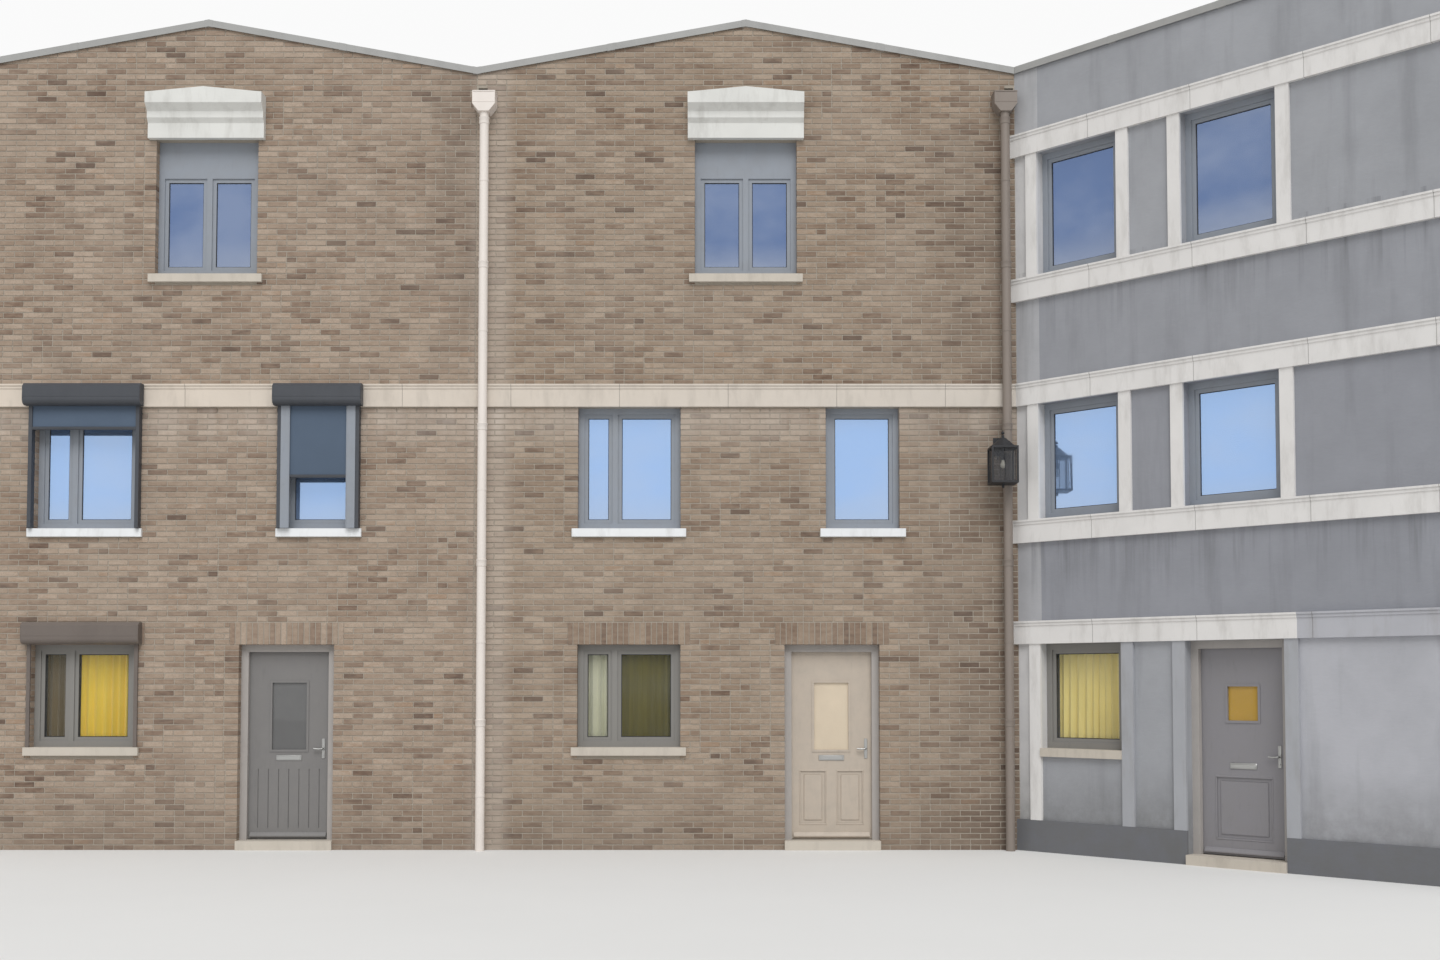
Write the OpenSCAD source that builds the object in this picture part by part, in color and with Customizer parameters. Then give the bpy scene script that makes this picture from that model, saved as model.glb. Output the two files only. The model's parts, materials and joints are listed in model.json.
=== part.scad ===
// A short row of three-storey town houses. Two brick houses with low gables
// stand in line, and a third, rendered one turns towards the street at their end.
// The origin is on the ground at the brick front face, on the line between the
// two brick houses. X runs along the brick fronts, Y runs back, Z is up.

/* [Row] */
// Frontage of each brick house, between party lines
house_w = 6000; // [5800:50:7000]
// Depth of the houses, from front face to rear face
depth = 8000; // [7000:100:10000]
// Length of the turned house's front
turned_w = 5000; // [4600:50:6500]
// Angle by which the last house turns towards the street
turn = 45; // [30:1:55]
// Width of the fine joints between the turned house and its neighbours
joint_w = 0.2; // [0.2:0.05:0.5]

/* [Levels] */
// Top of the ground floor above the street
ground_z = 100; // [80:5:160]
// Top of the first floor
first_z = 2900; // [2800:10:3050]
// Top of the second floor
second_z = 5750; // [5600:10:5900]
// Top of the fronts at the party lines
eaves_z = 8690; // [8650:10:9200]
// Rise of each low gable from the party lines to its apex
gable_rise = 540; // [300:10:900]

/* [Shell] */
// Thickness of the front and rear walls
wall_t = 340; // [300:10:400]
// Thickness of the party walls and end walls
party_t = 300; // [260:10:340]
// Thickness of the floors
floor_t = 250; // [180:10:300]
// Thickness of the roofs
roof_t = 200; // [150:10:260]
// Height by which the copings stand above the gable roofs
parapet_up = 100; // [60:5:160]
// Drop from the eaves level to the turned house's flat roof
flat_drop = 300; // [250:10:500]
// Thickness of the copings
coping_t = 40; // [30:5:60]
// Overhang of the copings past the wall faces
coping_out = 30; // [25:5:40]
// Height of the drip edge under a coping
drip_h = 35; // [20:5:60]
// Thickness of the drip edge
drip_t = 6; // [4:1:10]

/* [Brick front openings] */
// Distance of the side windows from each brick house's centre line
bay_off = 1290; // [1250:10:1500]
// Width of the wide windows
wide_w = 1140; // [900:10:1200]
// Width of the narrow first-floor windows
narrow_w = 820; // [600:10:900]
// Width of the second-floor windows
top_w = 1140; // [900:10:1250]
// Top of the ground-floor sills
ground_sill_z = 1120; // [800:5:1200]
// Heads of the ground-floor windows and doors
ground_head_z = 2250; // [2150:0.5:2350]
// Top of the first-floor sills
first_sill_z = 3525; // [3300:5:3600]
// Heads of the first-floor windows
first_head_z = 4875; // [4700:0.5:4950]
// Top of the second-floor sills
top_sill_z = 6360; // [6200:10:6500]
// Heads of the second-floor windows
top_head_z = 7875; // [7800:0.5:8050]
// Height of the closed panel at the top of a second-floor window
head_panel_h = 340; // [250:10:420]
// Share of a wide window's width left of its mullion
light_split = 0.34; // [0.3:0.01:0.7]

/* [Turned front openings] */
// Distance of the narrow windows' centre from the corner
near_x = 790; // [760:10:900]
// Width of the narrow windows
near_w = 990; // [850:10:1040]
// Distance of the wide windows' and the door's centre from the corner
far_x = 2540; // [2450:10:2800]
// Width of the wide windows
far_w = 1030; // [900:10:1100]
// Top of the turned house's first-floor sill band
turned_first_sill_z = 3610; // [3400:10:3650]
// Top of the turned house's second-floor sill band
turned_top_sill_z = 6290; // [6150:10:6400]
// Heads of the turned house's second-floor windows
turned_top_head_z = 7660; // [7500:10:7800]

/* [Windows] */
// Set-back of the window and door frames behind the wall face
set_back = 95; // [70:5:120]
// Width of the frame members
frame_w = 67; // [50:1:80]
// Depth of the window frames
frame_d = 90; // [70:5:120]
// Width of a mullion
mullion_w = 60; // [40:5:80]
// Width of a sash member inside the frame
sash_w = 42; // [30:1:50]
// Set-back of a sash behind the frame's face
sash_back = 16; // [10:1:24]
// Thickness of the glass units
glass_t = 24; // [16:1:36]
// Thickness of the stone sills
sill_t = 90; // [60:5:120]
// Projection of the sills past the wall face
sill_out = 50; // [30:5:80]
// Length of a sill's end past the opening
sill_end = 60; // [30:5:100]

/* [Doors] */
// Distance of the front doors from each brick house's centre line
door_off = 945; // [930:5:1000]
// Width of the doorways
doorway_w = 1050; // [960:10:1100]
// Depth of the door frames
door_frame_d = 114; // [100:2:140]
// Thickness of the door leaves
leaf_t = 54; // [44:2:60]
// Gap round a door leaf
leaf_gap = 8; // [8:1:12]
// Width of the stop that a leaf closes against
stop_w = 15; // [12:1:20]
// Gap between a closed leaf and its stop
stop_gap = 6; // [6:1:8]
// Distance of the hinge axis behind the leaf's inner face
hinge_off = 14; // [14:1:20]
// Radius of the hinge knuckles
knuckle_r = 11; // [9:0.5:11]
// Radius of the hinge pins
pin_r = 7; // [5:0.5:7.5]
// Radial clearance between a pin and its knuckle
pin_clear = 0.3; // [0.2:0.05:0.5]
// Height of a hinge's middle knuckle
knuckle_h = 100; // [80:5:140]
// Width of a hinge's plates
hinge_plate_w = 38; // [30:1:45]
// Height of a hinge's end knuckles
knuckle_end_h = 22; // [15:1:30]
// Projection of the thresholds past the wall face
threshold_out = 60; // [30:5:100]
// Width of the tall panes in the brick houses' doors
tall_pane_w = 380; // [200:10:420]
// Height of the tall panes
tall_pane_h = 740; // [400:10:780]
// Foot of the tall panes above the leaf's foot
tall_pane_z = 980; // [960:10:1020]
// Width of the small pane in the turned house's door
small_pane_w = 320; // [200:10:400]
// Height of the small pane
small_pane_h = 340; // [200:10:400]
// Foot of the small pane above the leaf's foot
small_pane_z = 1340; // [1150:10:1400]

/* [Trim] */
// Height of the pale string course and of the turned house's bands
course_h = 250; // [200:10:260]
// Projection of the string course and bands
course_out = 45; // [30:5:60]
// Height of the moulding along the top of the string course and bands
nose_h = 60; // [40:5:80]
// Projection of that moulding past the band's face
nose_out = 20; // [10:5:30]
// Width of the turned house's window surrounds
surround_w = 140; // [100:10:180]
// Projection of the window surrounds
surround_out = 30; // [20:5:40]
// Height of the turned house's plinth
plinth_h = 340; // [200:10:500]
// Projection of the plinth
plinth_out = 30; // [15:5:40]
// Width of the hoods over the second-floor windows
hood_w = 1290; // [1250:10:1450]
// Height of a hood at its ends
hood_h = 480; // [400:10:520]
// Extra height of a hood at its middle
hood_crown = 60; // [30:5:90]
// Projection of a hood's cornice
hood_out = 190; // [150:10:260]
// Height of the sun-screen cassettes
cassette_h = 240; // [150:10:260]
// Depth of the sun-screen cassettes
cassette_d = 130; // [100:5:160]
// Length of a cassette's end past its window
cassette_end = 75; // [50:5:120]
// Radius of a cassette's rounded lower front edge
cassette_r = 60; // [30:5:70]
// Width of the rails that guide the screens
rail_w = 40; // [30:5:45]
// Depth of the rails in front of what they stand against
rail_d = 30; // [20:5:45]
// Drop of the lowered screen at the wide first-floor window
wide_drop = 230; // [100:10:800]
// Drop of the lowered screen at the narrow first-floor window
narrow_drop = 760; // [100:10:1100]
// Height of a screen's bottom bar
screen_bar = 35; // [20:5:50]

/* [Rainwater] */
// Width of the gutters behind the gables
gutter_w = 250; // [220:10:280]
// Sheet thickness of the gutters and rainwater heads
sheet_t = 8; // [5:1:10]
// Width of the outlets through the fronts
outlet_w = 100; // [80:5:100]
// Height of the outlets
outlet_h = 90; // [60:5:110]
// Projection of the gutters' tongues past the wall face
tongue_out = 60; // [40:5:80]
// Radius of the downpipes
pipe_r = 50; // [35:1:55]
// Wall thickness of the downpipes
pipe_t = 3; // [2:0.5:5]
// Distance of the downpipes' axis from the wall face
pipe_y = 120; // [115:1:150]
// Width of a rainwater head
hopper_w = 250; // [220:5:300]
// Height of a rainwater head
hopper_h = 230; // [180:5:300]
// Distance of the valley's downpipe from the line between the brick houses
valley_pipe_x = 100; // [80:5:110]
// Height of a downpipe's brackets
bracket_h = 30; // [20:5:50]
// Width of a bracket's arm
bracket_w = 24; // [15:1:40]

/* [Lantern] */
// Distance of the lantern's middle from the corner
lantern_off = 218; // [210:2:240]
// Foot of the lantern
lantern_z = 3980; // [3700:10:4100]
// Width of the lantern
lantern_w = 290; // [220:10:300]
// Height of the lantern's glazed part
lantern_h = 400; // [300:10:450]
// Height of its roof
lantern_roof_h = 100; // [60:5:140]
// Distance of its middle from the wall face
lantern_y = 340; // [330:5:400]
// Width of its corner posts
post_w = 22; // [15:1:30]

/* [Door furniture] */
// Height of the lever handles above the ground floor
handle_z = 1000; // [900:10:1100]
// Distance of a handle's spindle from the leaf's edge
handle_in = 70; // [60:5:90]
// Width of a handle's back plate
plate_w = 36; // [30:1:50]
// Height of a handle's back plate
plate_h = 220; // [150:10:260]
// Thickness of the plates
plate_t = 8; // [4:1:10]
// Length of a lever
lever_l = 110; // [90:5:130]
// Thickness of a lever
lever_t = 18; // [12:1:22]
// Reach of a lever from the leaf's face
lever_out = 54; // [45:1:65]
// Length of a letter plate
letter_w = 280; // [230:10:320]
// Height of a letter plate
letter_h = 60; // [40:5:80]

/* [Hidden] */
$fn = 48;

// Small overrun that lets a cut pass cleanly through a face
eps = 1;
// The turned house's door stands under its wide windows
turned_door_w = doorway_w;
// Width and height of the clear space in a door frame
clear_w = doorway_w - 2 * frame_w;
clear_top_z = ground_head_z - frame_w;
// Size of a door leaf
leaf_w = clear_w - 2 * leaf_gap;
leaf_z = ground_z + leaf_gap;
leaf_h = clear_top_z - leaf_gap - leaf_z;
// Distances behind the wall face
frame_back_y = set_back + door_frame_d;
leaf_y = frame_back_y - leaf_t;
stop_d = leaf_y - stop_gap - set_back;
axis_y = frame_back_y + hinge_off;
// Distance of a hinge axis from its door's centre line
axis_x = clear_w / 2 - leaf_gap / 2;
// Heights of the hinges' lower ends
hinge_zs = [for (s = [0.12, 0.5, 0.88]) leaf_z + s * leaf_h - knuckle_h / 2];
// Gap between the knuckles of one hinge
knuckle_gap = 1;
// Rise of a gable roof for each millimetre away from the party line
slope = gable_rise / (house_w / 2);
flat_roof_z = eaves_z - flat_drop;

// Colours of the materials
brick_c = [0.60, 0.53, 0.46];
render_c = [0.58, 0.59, 0.61];
stone_c = [0.79, 0.78, 0.74];
party_c = [0.66, 0.62, 0.58];
slab_c = [0.70, 0.70, 0.68];
frame_c = [0.42, 0.43, 0.45];
pale_frame_c = [0.66, 0.65, 0.62];
glass_c = [0.55, 0.65, 0.78, 0.6];
metal_c = [0.66, 0.65, 0.64];
dark_c = [0.25, 0.26, 0.28];

// A window is [centre, width, sill top, head, share left of mullion, head panel]
brick_windows = [
    [-bay_off, wide_w, ground_sill_z, ground_head_z, light_split, 0],
    [-bay_off, wide_w, first_sill_z, first_head_z, light_split, 0],
    [bay_off, narrow_w, first_sill_z, first_head_z, 0, 0],
    [0, top_w, top_sill_z, top_head_z, 0.5, head_panel_h]];
turned_windows = [
    [near_x, near_w, ground_sill_z, ground_head_z, 0, 0],
    [near_x, near_w, turned_first_sill_z, first_head_z, 0, 0],
    [far_x, far_w, turned_first_sill_z, first_head_z, 0, 0],
    [near_x, near_w, turned_top_sill_z, turned_top_head_z, 0, 0],
    [far_x, far_w, turned_top_sill_z, turned_top_head_z, 0, 0]];
rear_windows = [
    for (x = [-bay_off, bay_off])
        for (z = [[ground_sill_z, ground_head_z], [first_sill_z, first_head_z]])
            [x, wide_w, z[0], z[1], 0, 0],
    [0, top_w, top_sill_z, top_head_z, 0, 0]];
// Centres of the turned house's rear windows, from the rear bend
straight_rear_x = (rear_x(depth) - house_w) / 2;
turned_rear_l = turned_w + depth * tan(turn / 2);
turned_rear_xs = [for (s = [0.2, 0.5, 0.8]) s * turned_rear_l];
storeys = [[ground_sill_z, ground_head_z], [first_sill_z, first_head_z],
    [turned_top_sill_z, turned_top_head_z]];

// X of the line that halves the bend between the second and third house
function rear_x(y) = house_w + y * tan(turn / 2);
// X of that line in the turned house's own plan, a fine joint off it
function mitre_x(y) = joint_w - y * tan(turn / 2);
// X of the brick front's face in the turned house's own plan, a fine joint off it
function butt_x(y) = joint_w + y / tan(turn);
// Y of a line parallel to the turned front, l behind it, at a distance dx from the corner
function turned_y(dx, l) = (l - dx * sin(turn)) / cos(turn);
// A point of the turned house's own plan, in the row's plan
function turned(p) = [
    house_w + p[0] * cos(turn) + p[1] * sin(turn),
    -p[0] * sin(turn) + p[1] * cos(turn)];
// Height of a gable roof's top at a distance from the party line
function roof_top(d) = eaves_z - coping_t - parapet_up + slope * d;
// Level of the gutters behind the gables
gutter_z = roof_top(gutter_w / 2) - roof_t;
// X of the gutter between the second and third house
side_gutter_x = house_w - gutter_w / 2;
// X of the outlets, on the second house's side of the valley and beside the corner
outlet_xs = [gutter_w / 2 - sheet_t - outlet_w / 2, side_gutter_x + gutter_w / 4];
// X of the downpipes' axes
pipe_xs = [valley_pipe_x, house_w - hopper_w / 2 - pipe_t];

// Places with x along a front, y into the building and x = 0 on its centre line
module on_front(i) { translate([(i - 1.5) * house_w, 0, 0]) children(); }
module on_rear(i) { translate([(i - 1.5) * house_w, depth, 0]) rotate([0, 0, 180]) children(); }
// The same along the turned front, with x = 0 at the corner
module on_turned() { translate([house_w, 0, 0]) rotate([0, 0, -turn]) children(); }
// Behind the turned house, with x = 0 at the rear bend
module on_straight_rear() { translate([rear_x(depth), depth, 0]) rotate([0, 0, 180]) children(); }
module on_turned_rear() {
    on_turned() translate([-depth * tan(turn / 2), depth, 0]) mirror([0, 1, 0]) children();
}

// A solid of a plan outline between two heights
module upright(plan, z0, z1) { translate([0, 0, z0]) linear_extrude(z1 - z0) polygon(plan); }
// A solid of an upright outline, from one distance behind the front to another
module profile(outline, y0, y1) {
    translate([0, y1, 0]) rotate([90, 0, 0]) linear_extrude(y1 - y0) polygon(outline);
}

module window_hole(w, drop = sill_t, over = 0) {
    translate([w[0] - w[1] / 2, -eps, w[2] - drop])
        cube([w[1], wall_t + 2 * eps, w[3] - w[2] + drop + over]);
}
module window_holes(list, drop = sill_t) { for (w = list) window_hole(w, drop); }

// Lights of a window, each as [left, width, height of its foot, height]
function lights(w) =
    let(inner = w[1] - 2 * frame_w, h = w[3] - w[2] - 2 * frame_w - w[5], x0 = w[0] - inner / 2)
    w[4] == 0 ? [[x0, inner, w[2] + frame_w, h]] :
    let(a = inner * w[4] - mullion_w / 2)
    [[x0, a, w[2] + frame_w, h], [x0 + a + mullion_w, inner - a - mullion_w, w[2] + frame_w, h]];

// An upright block the size of a light, less a margin all round, between two depths
module light_block(l, margin, y0, y1) {
    translate([l[0] + margin, y0, l[2] + margin])
        cube([l[1] - 2 * margin, y1 - y0, l[3] - 2 * margin]);
}
// A fixed frame with a sash set back in each of its lights
module window_frame(w) {
    back = set_back + frame_d;
    difference() {
        translate([w[0] - w[1] / 2, set_back, w[2]]) cube([w[1], frame_d, w[3] - w[2]]);
        for (l = lights(w)) {
            light_block(l, 0, set_back - eps, set_back + sash_back);
            light_block(l, sash_w, set_back, back + eps);
        }
    }
}
module window_glass(w) {
    y = set_back + (frame_d - glass_t) / 2;
    for (l = lights(w)) light_block(l, sash_w, y, y + glass_t);
}
module window_sill(w) {
    translate([w[0] - w[1] / 2, -sill_out, w[2] - sill_t]) cube([w[1], wall_t + sill_out, sill_t]);
    translate([w[0] - w[1] / 2 - sill_end, -sill_out, w[2] - sill_t])
        cube([w[1] + 2 * sill_end, sill_out, sill_t]);
}

// A sill that stays between the strips beside its window
module flush_sill(w) {
    translate([w[0] - w[1] / 2, -sill_out, w[2] - sill_t]) cube([w[1], wall_t + sill_out, sill_t]);
}

// Inside edges of the brick houses, between their party walls
function room_x(i) = i == 1 ? [-house_w + party_t, -party_t / 2] : [party_t / 2, house_w - party_t / 2];
turned_room = [
    [rear_x(wall_t), wall_t + joint_w / cos(turn)],
    turned([turned_w - party_t - joint_w, wall_t + joint_w]),
    turned([turned_w - party_t - joint_w, depth - wall_t - joint_w]),
    [rear_x(depth - wall_t) - joint_w / sin(turn), depth - wall_t],
    [rear_x(wall_t), depth - wall_t]];

module room_slabs(z0, z1) {
    for (i = [1, 2])
        translate([room_x(i)[0], wall_t, z0])
            cube([room_x(i)[1] - room_x(i)[0], depth - 2 * wall_t, z1 - z0]);
    upright(turned_room, z0, z1);
}
module ground_floors() { color(slab_c) room_slabs(0, ground_z); }
module upper_floors() {
    color(slab_c) for (z = [first_z, second_z]) room_slabs(z - floor_t, z);
}

module party_walls() {
    half = party_t / 2;
    g = gutter_w / 2;
    top_z = eaves_z - coping_t;
    color(party_c) {
        profile([[-house_w, 0], [-house_w + party_t, 0],
            [-house_w + party_t, roof_top(party_t) - roof_t], [-house_w, roof_top(0) - roof_t]],
            wall_t, depth - wall_t);
        profile([[-half, 0], [half, 0], [half, roof_top(half) - roof_t], [g, gutter_z],
            [-g, gutter_z], [-half, roof_top(half) - roof_t]], wall_t, depth - wall_t);
        profile([[house_w - half, 0], [rear_x(wall_t), 0], [rear_x(wall_t), top_z],
            [house_w, top_z], [house_w, gutter_z], [side_gutter_x, gutter_z],
            [house_w - half, roof_top(half) - roof_t]], wall_t, depth - wall_t);
        on_turned() translate([turned_w - party_t, wall_t, 0])
            cube([party_t, depth - 2 * wall_t, top_z]);
    }
}

// The lower parts of each front stand beside its doorway
module front_wall_1_left() {
    color(brick_c) on_front(1) difference() {
        translate([-house_w / 2, 0, 0])
            cube([house_w / 2 + door_off - doorway_w / 2, wall_t, ground_head_z]);
        window_hole(brick_windows[0], over = eps);
    }
}
module front_wall_1_right() {
    color(brick_c) on_front(1) translate([door_off + doorway_w / 2, 0, 0])
        cube([house_w / 2 - door_off - doorway_w / 2, wall_t, ground_head_z]);
}
module front_wall_2_left() { translate([house_w, 0, 0]) front_wall_1_left(); }
module front_wall_2_right() {
    x0 = house_w / 2 + door_off + doorway_w / 2;
    color(brick_c)
        upright([[x0, 0], [house_w, 0], [rear_x(wall_t), wall_t], [x0, wall_t]], 0, ground_head_z);
}

// Outline of a brick front above a height, to which a corner may add width
function gable(z0, extra = 0) = [[-house_w / 2, z0], [house_w / 2 + extra, z0],
    [house_w / 2 + extra, eaves_z - coping_t], [house_w / 2, eaves_z - coping_t],
    [0, eaves_z + gable_rise - coping_t], [-house_w / 2, eaves_z - coping_t]];

module outlet(x) {
    translate([x - outlet_w / 2, -eps, gutter_z]) cube([outlet_w, wall_t + 2 * eps, outlet_h]);
}
module front_wall_1_upper() {
    color(brick_c) difference() {
        on_front(1) profile(gable(ground_head_z), 0, wall_t);
        on_front(1) for (k = [1 : 3]) window_hole(brick_windows[k]);
    }
}
module front_wall_2_upper() {
    color(brick_c) difference() {
        intersection() {
            on_front(2) profile(gable(ground_head_z, rear_x(wall_t) - house_w), 0, wall_t);
            upright([[0, 0], [house_w, 0], [rear_x(wall_t), wall_t], [0, wall_t]],
                0, eaves_z + gable_rise);
        }
        on_front(2) for (k = [1 : 3]) window_hole(brick_windows[k]);
        for (x = outlet_xs) outlet(x);
    }
}

module front_wall_3_left() {
    x1 = far_x - turned_door_w / 2;
    color(render_c) on_turned() difference() {
        upright([[mitre_x(0), 0], [x1, 0], [x1, wall_t], [mitre_x(wall_t), wall_t]],
            0, ground_head_z);
        window_hole(turned_windows[0], sill_t, eps);
    }
}
module front_wall_3_right() {
    x0 = far_x + turned_door_w / 2;
    color(render_c) on_turned() translate([x0, 0, 0])
        cube([turned_w - x0, wall_t, ground_head_z]);
}
module front_wall_3_upper() {
    color(render_c) on_turned() difference() {
        upright([[mitre_x(0), 0], [turned_w, 0], [turned_w, wall_t], [mitre_x(wall_t), wall_t]],
            ground_head_z, eaves_z - coping_t);
        for (k = [1 : 4]) window_hole(turned_windows[k], 0);
    }
}

module rear_wall(i) {
    color(brick_c) on_rear(i) difference() {
        profile(gable(0), 0, wall_t);
        window_holes(rear_windows);
    }
}
module rear_wall_1() { rear_wall(1); }
module rear_wall_2() { rear_wall(2); }

// Windows of one column of the turned house's rear, at a distance from the bend
function rear_column(x) = [for (s = storeys) [x, wide_w, s[0], s[1], 0, 0]];

module rear_wall_3_straight() {
    inner = depth - wall_t;
    color(render_c) difference() {
        upright([[house_w, inner], [rear_x(inner), inner], [rear_x(depth), depth],
            [house_w, depth]], 0, eaves_z - coping_t);
        on_straight_rear() window_holes(rear_column(straight_rear_x));
    }
}
module rear_wall_3_turned() {
    color(render_c) on_turned_rear() difference() {
        upright([[mitre_x(0), 0], [turned_rear_l, 0], [turned_rear_l, wall_t],
            [mitre_x(-wall_t), wall_t]], 0, eaves_z - coping_t);
        for (x = turned_rear_xs) window_holes(rear_column(x));
    }
}

// A gable roof whose edges stop short of the party lines by a and b
module gable_roof(a, b) {
    w = house_w / 2;
    profile([[-w + a, roof_top(a) - roof_t], [0, roof_top(w) - roof_t], [w - b, roof_top(b) - roof_t],
        [w - b, roof_top(b)], [0, roof_top(w)], [-w + a, roof_top(a)]], wall_t, depth - wall_t);
}
module gable_roofs() {
    g = gutter_w / 2;
    color(dark_c) {
        on_front(1) gable_roof(0, g);
        on_front(2) gable_roof(g, g);
    }
}
module flat_roof() { color(dark_c) upright(turned_room, flat_roof_z - roof_t, flat_roof_z); }

module gable_copings() {
    z = eaves_z - coping_t;
    top = [for (k = [-2 : 2]) [k * house_w / 2, z + (k % 2 == 0 ? 0 : gable_rise)]];
    bottom = [for (k = [2 : -1 : -2]) top[k + 2]];
    zigzag = concat([for (p = top) [p[0], p[1] + coping_t]], bottom);
    lip = concat(top, [for (p = bottom) [p[0], p[1] - drip_h]]);
    l = wall_t + 2 * coping_out;
    color(metal_c) for (y = [-coping_out, depth - wall_t - coping_out]) {
        profile(zigzag, y, y + l);
        for (d = [y, y + l - drip_t]) profile(lip, d, d + drip_t);
    }
}
module parapet_coping() {
    o = coping_out;
    z = eaves_z - coping_t + joint_w;
    inner = depth - wall_t;
    left = rear_x(wall_t) + o;
    color(metal_c) {
        difference() {
            upright([[house_w, turned_y(0, -o)], turned([turned_w, -o]),
                turned([turned_w, depth + o]), [rear_x(depth + o), depth + o],
                [house_w, depth + o]], z, eaves_z);
            upright([[left, turned_y(left - house_w, wall_t + o)],
                turned([turned_w - party_t - o, wall_t + o]),
                turned([turned_w - party_t - o, inner - o]), [rear_x(inner - o), inner - o],
                [left, inner - o]], z - eps, eaves_z + eps);
        }
        upright([[house_w, turned_y(0, -o)], turned([turned_w, -o]),
            turned([turned_w, drip_t - o]), [house_w, turned_y(0, drip_t - o)]], z - drip_h, z);
        upright([[house_w, depth + o - drip_t], [rear_x(depth + o - drip_t), depth + o - drip_t],
            turned([turned_w, depth + o - drip_t]), turned([turned_w, depth + o]),
            [rear_x(depth + o), depth + o], [house_w, depth + o]], z - drip_h, z);
    }
}

// Sheet gutters in the valley and beside the corner, each with a tongue through the front
module roof_gutters() {
    g = gutter_w / 2;
    side_h = roof_t;
    color(metal_c) {
        for (k = [0, 1]) {
            w = k == 0 ? gutter_w : g;
            x = k == 0 ? -g : side_gutter_x;
            translate([x, wall_t, gutter_z]) cube([w, depth - 2 * wall_t, sheet_t]);
            for (e = [x, x + w - sheet_t])
                translate([e, wall_t, gutter_z]) cube([sheet_t, depth - 2 * wall_t, side_h]);
            translate([outlet_xs[k] - outlet_w / 2, -tongue_out, gutter_z])
                cube([outlet_w, wall_t + tongue_out + g, sheet_t]);
        }
    }
}

// Gap between a rainwater head's rim and the gutter's tongue over it
hopper_drop = 2;
bracket_zs = [for (s = [0.07, 0.27, 0.47, 0.68, 0.88]) s * gutter_z];
module downpipe(x) {
    z = gutter_z - hopper_h;
    y = -pipe_y;
    w = hopper_w;
    neck = pipe_r + sheet_t;
    top = gutter_z - hopper_drop;
    translate([x, 0, 0]) {
        difference() {
            union() {
                translate([0, y, 0]) cylinder(h = z + 2 * sheet_t, r = pipe_r);
                for (b = bracket_zs) {
                    translate([0, y, b]) cylinder(h = bracket_h, r = pipe_r + pipe_t);
                    translate([-bracket_w / 2, y, b]) cube([bracket_w, pipe_y, bracket_h]);
                }
            }
            translate([0, y, -eps]) cylinder(h = gutter_z, r = pipe_r - pipe_t);
        }
        difference() {
            profile([[-w / 2, z + w / 3], [-neck, z], [neck, z], [w / 2, z + w / 3],
                [w / 2, top], [-w / 2, top]], 2 * y + pipe_r, 0);
            profile([[-w / 2 + sheet_t, z + w / 3], [-pipe_r, z + sheet_t], [pipe_r, z + sheet_t],
                [w / 2 - sheet_t, z + w / 3], [w / 2 - sheet_t, gutter_z], [-w / 2 + sheet_t, gutter_z]],
                2 * y + pipe_r + sheet_t, -sheet_t);
            translate([0, y, z - eps]) cylinder(h = sheet_t + 2 * eps, r = pipe_r - pipe_t);
        }
    }
}
module downpipes() { color(metal_c) for (x = pipe_xs) downpipe(x); }

// Section of the string course and bands: a flat face under a moulded top edge
function band_section() =
    let(o = course_out, n = nose_out, h = course_h, z = course_h - nose_h)
    [[0, 0], [-o, 0], [-o, z], [-o - n / 2, z + n / 2], [-o - n / 2, h - n], [-o - n, h - n],
        [-o - n, h], [0, h]];
// A band along x from x0 to x1, with its foot at a height
module band_run(x0, x1, z) {
    translate([x0, 0, z]) rotate([90, 0, 90]) linear_extrude(x1 - x0) polygon(band_section());
}
// How far the bands' mitre at the corner reaches out from the wall faces
mitre_y = -course_out - nose_out - eps;
module string_course() {
    z = first_head_z;
    color(stone_c) intersection() {
        band_run(-house_w, house_w, z);
        upright([[-house_w, 0], [-house_w, mitre_y], [rear_x(mitre_y), mitre_y], [house_w, 0]],
            z - eps, z + course_h + eps);
    }
}
band_zs = [ground_head_z, turned_first_sill_z - course_h, first_head_z,
    turned_top_sill_z - course_h, turned_top_head_z];
// The band that meets the string course is mitred, and the others butt on the brick front
module turned_bands() {
    x0 = butt_x(mitre_y);
    color(stone_c) on_turned() for (z = band_zs) intersection() {
        band_run(x0, turned_w, z);
        upright([[joint_w, 0], [z == first_head_z ? mitre_x(mitre_y) : x0, mitre_y],
            [turned_w, mitre_y], [turned_w, 0]], z - eps, z + course_h + eps);
    }
}

// Flat strips beside the turned house's windows and its doorway
module strips(x, w, z0, z1) {
    for (e = [x - w / 2 - surround_w, x + w / 2])
        translate([e, -surround_out, z0]) cube([surround_w, surround_out, z1 - z0]);
}
module window_surrounds() {
    color(stone_c) on_turned() {
        for (w = turned_windows)
            strips(w[0], w[1], w == turned_windows[0] ? plinth_h : w[2], w[3]);
        strips(far_x, turned_door_w, plinth_h, ground_head_z);
    }
}
module turned_plinth() {
    o = plinth_out;
    door_l = far_x - turned_door_w / 2;
    door_r = far_x + turned_door_w / 2;
    color(dark_c) on_turned() {
        upright([[joint_w, 0], [butt_x(-o), -o], [door_l, -o], [door_l, 0]], 0, plinth_h);
        translate([door_r, -o, 0]) cube([turned_w - door_r, o, plinth_h]);
    }
}

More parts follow.
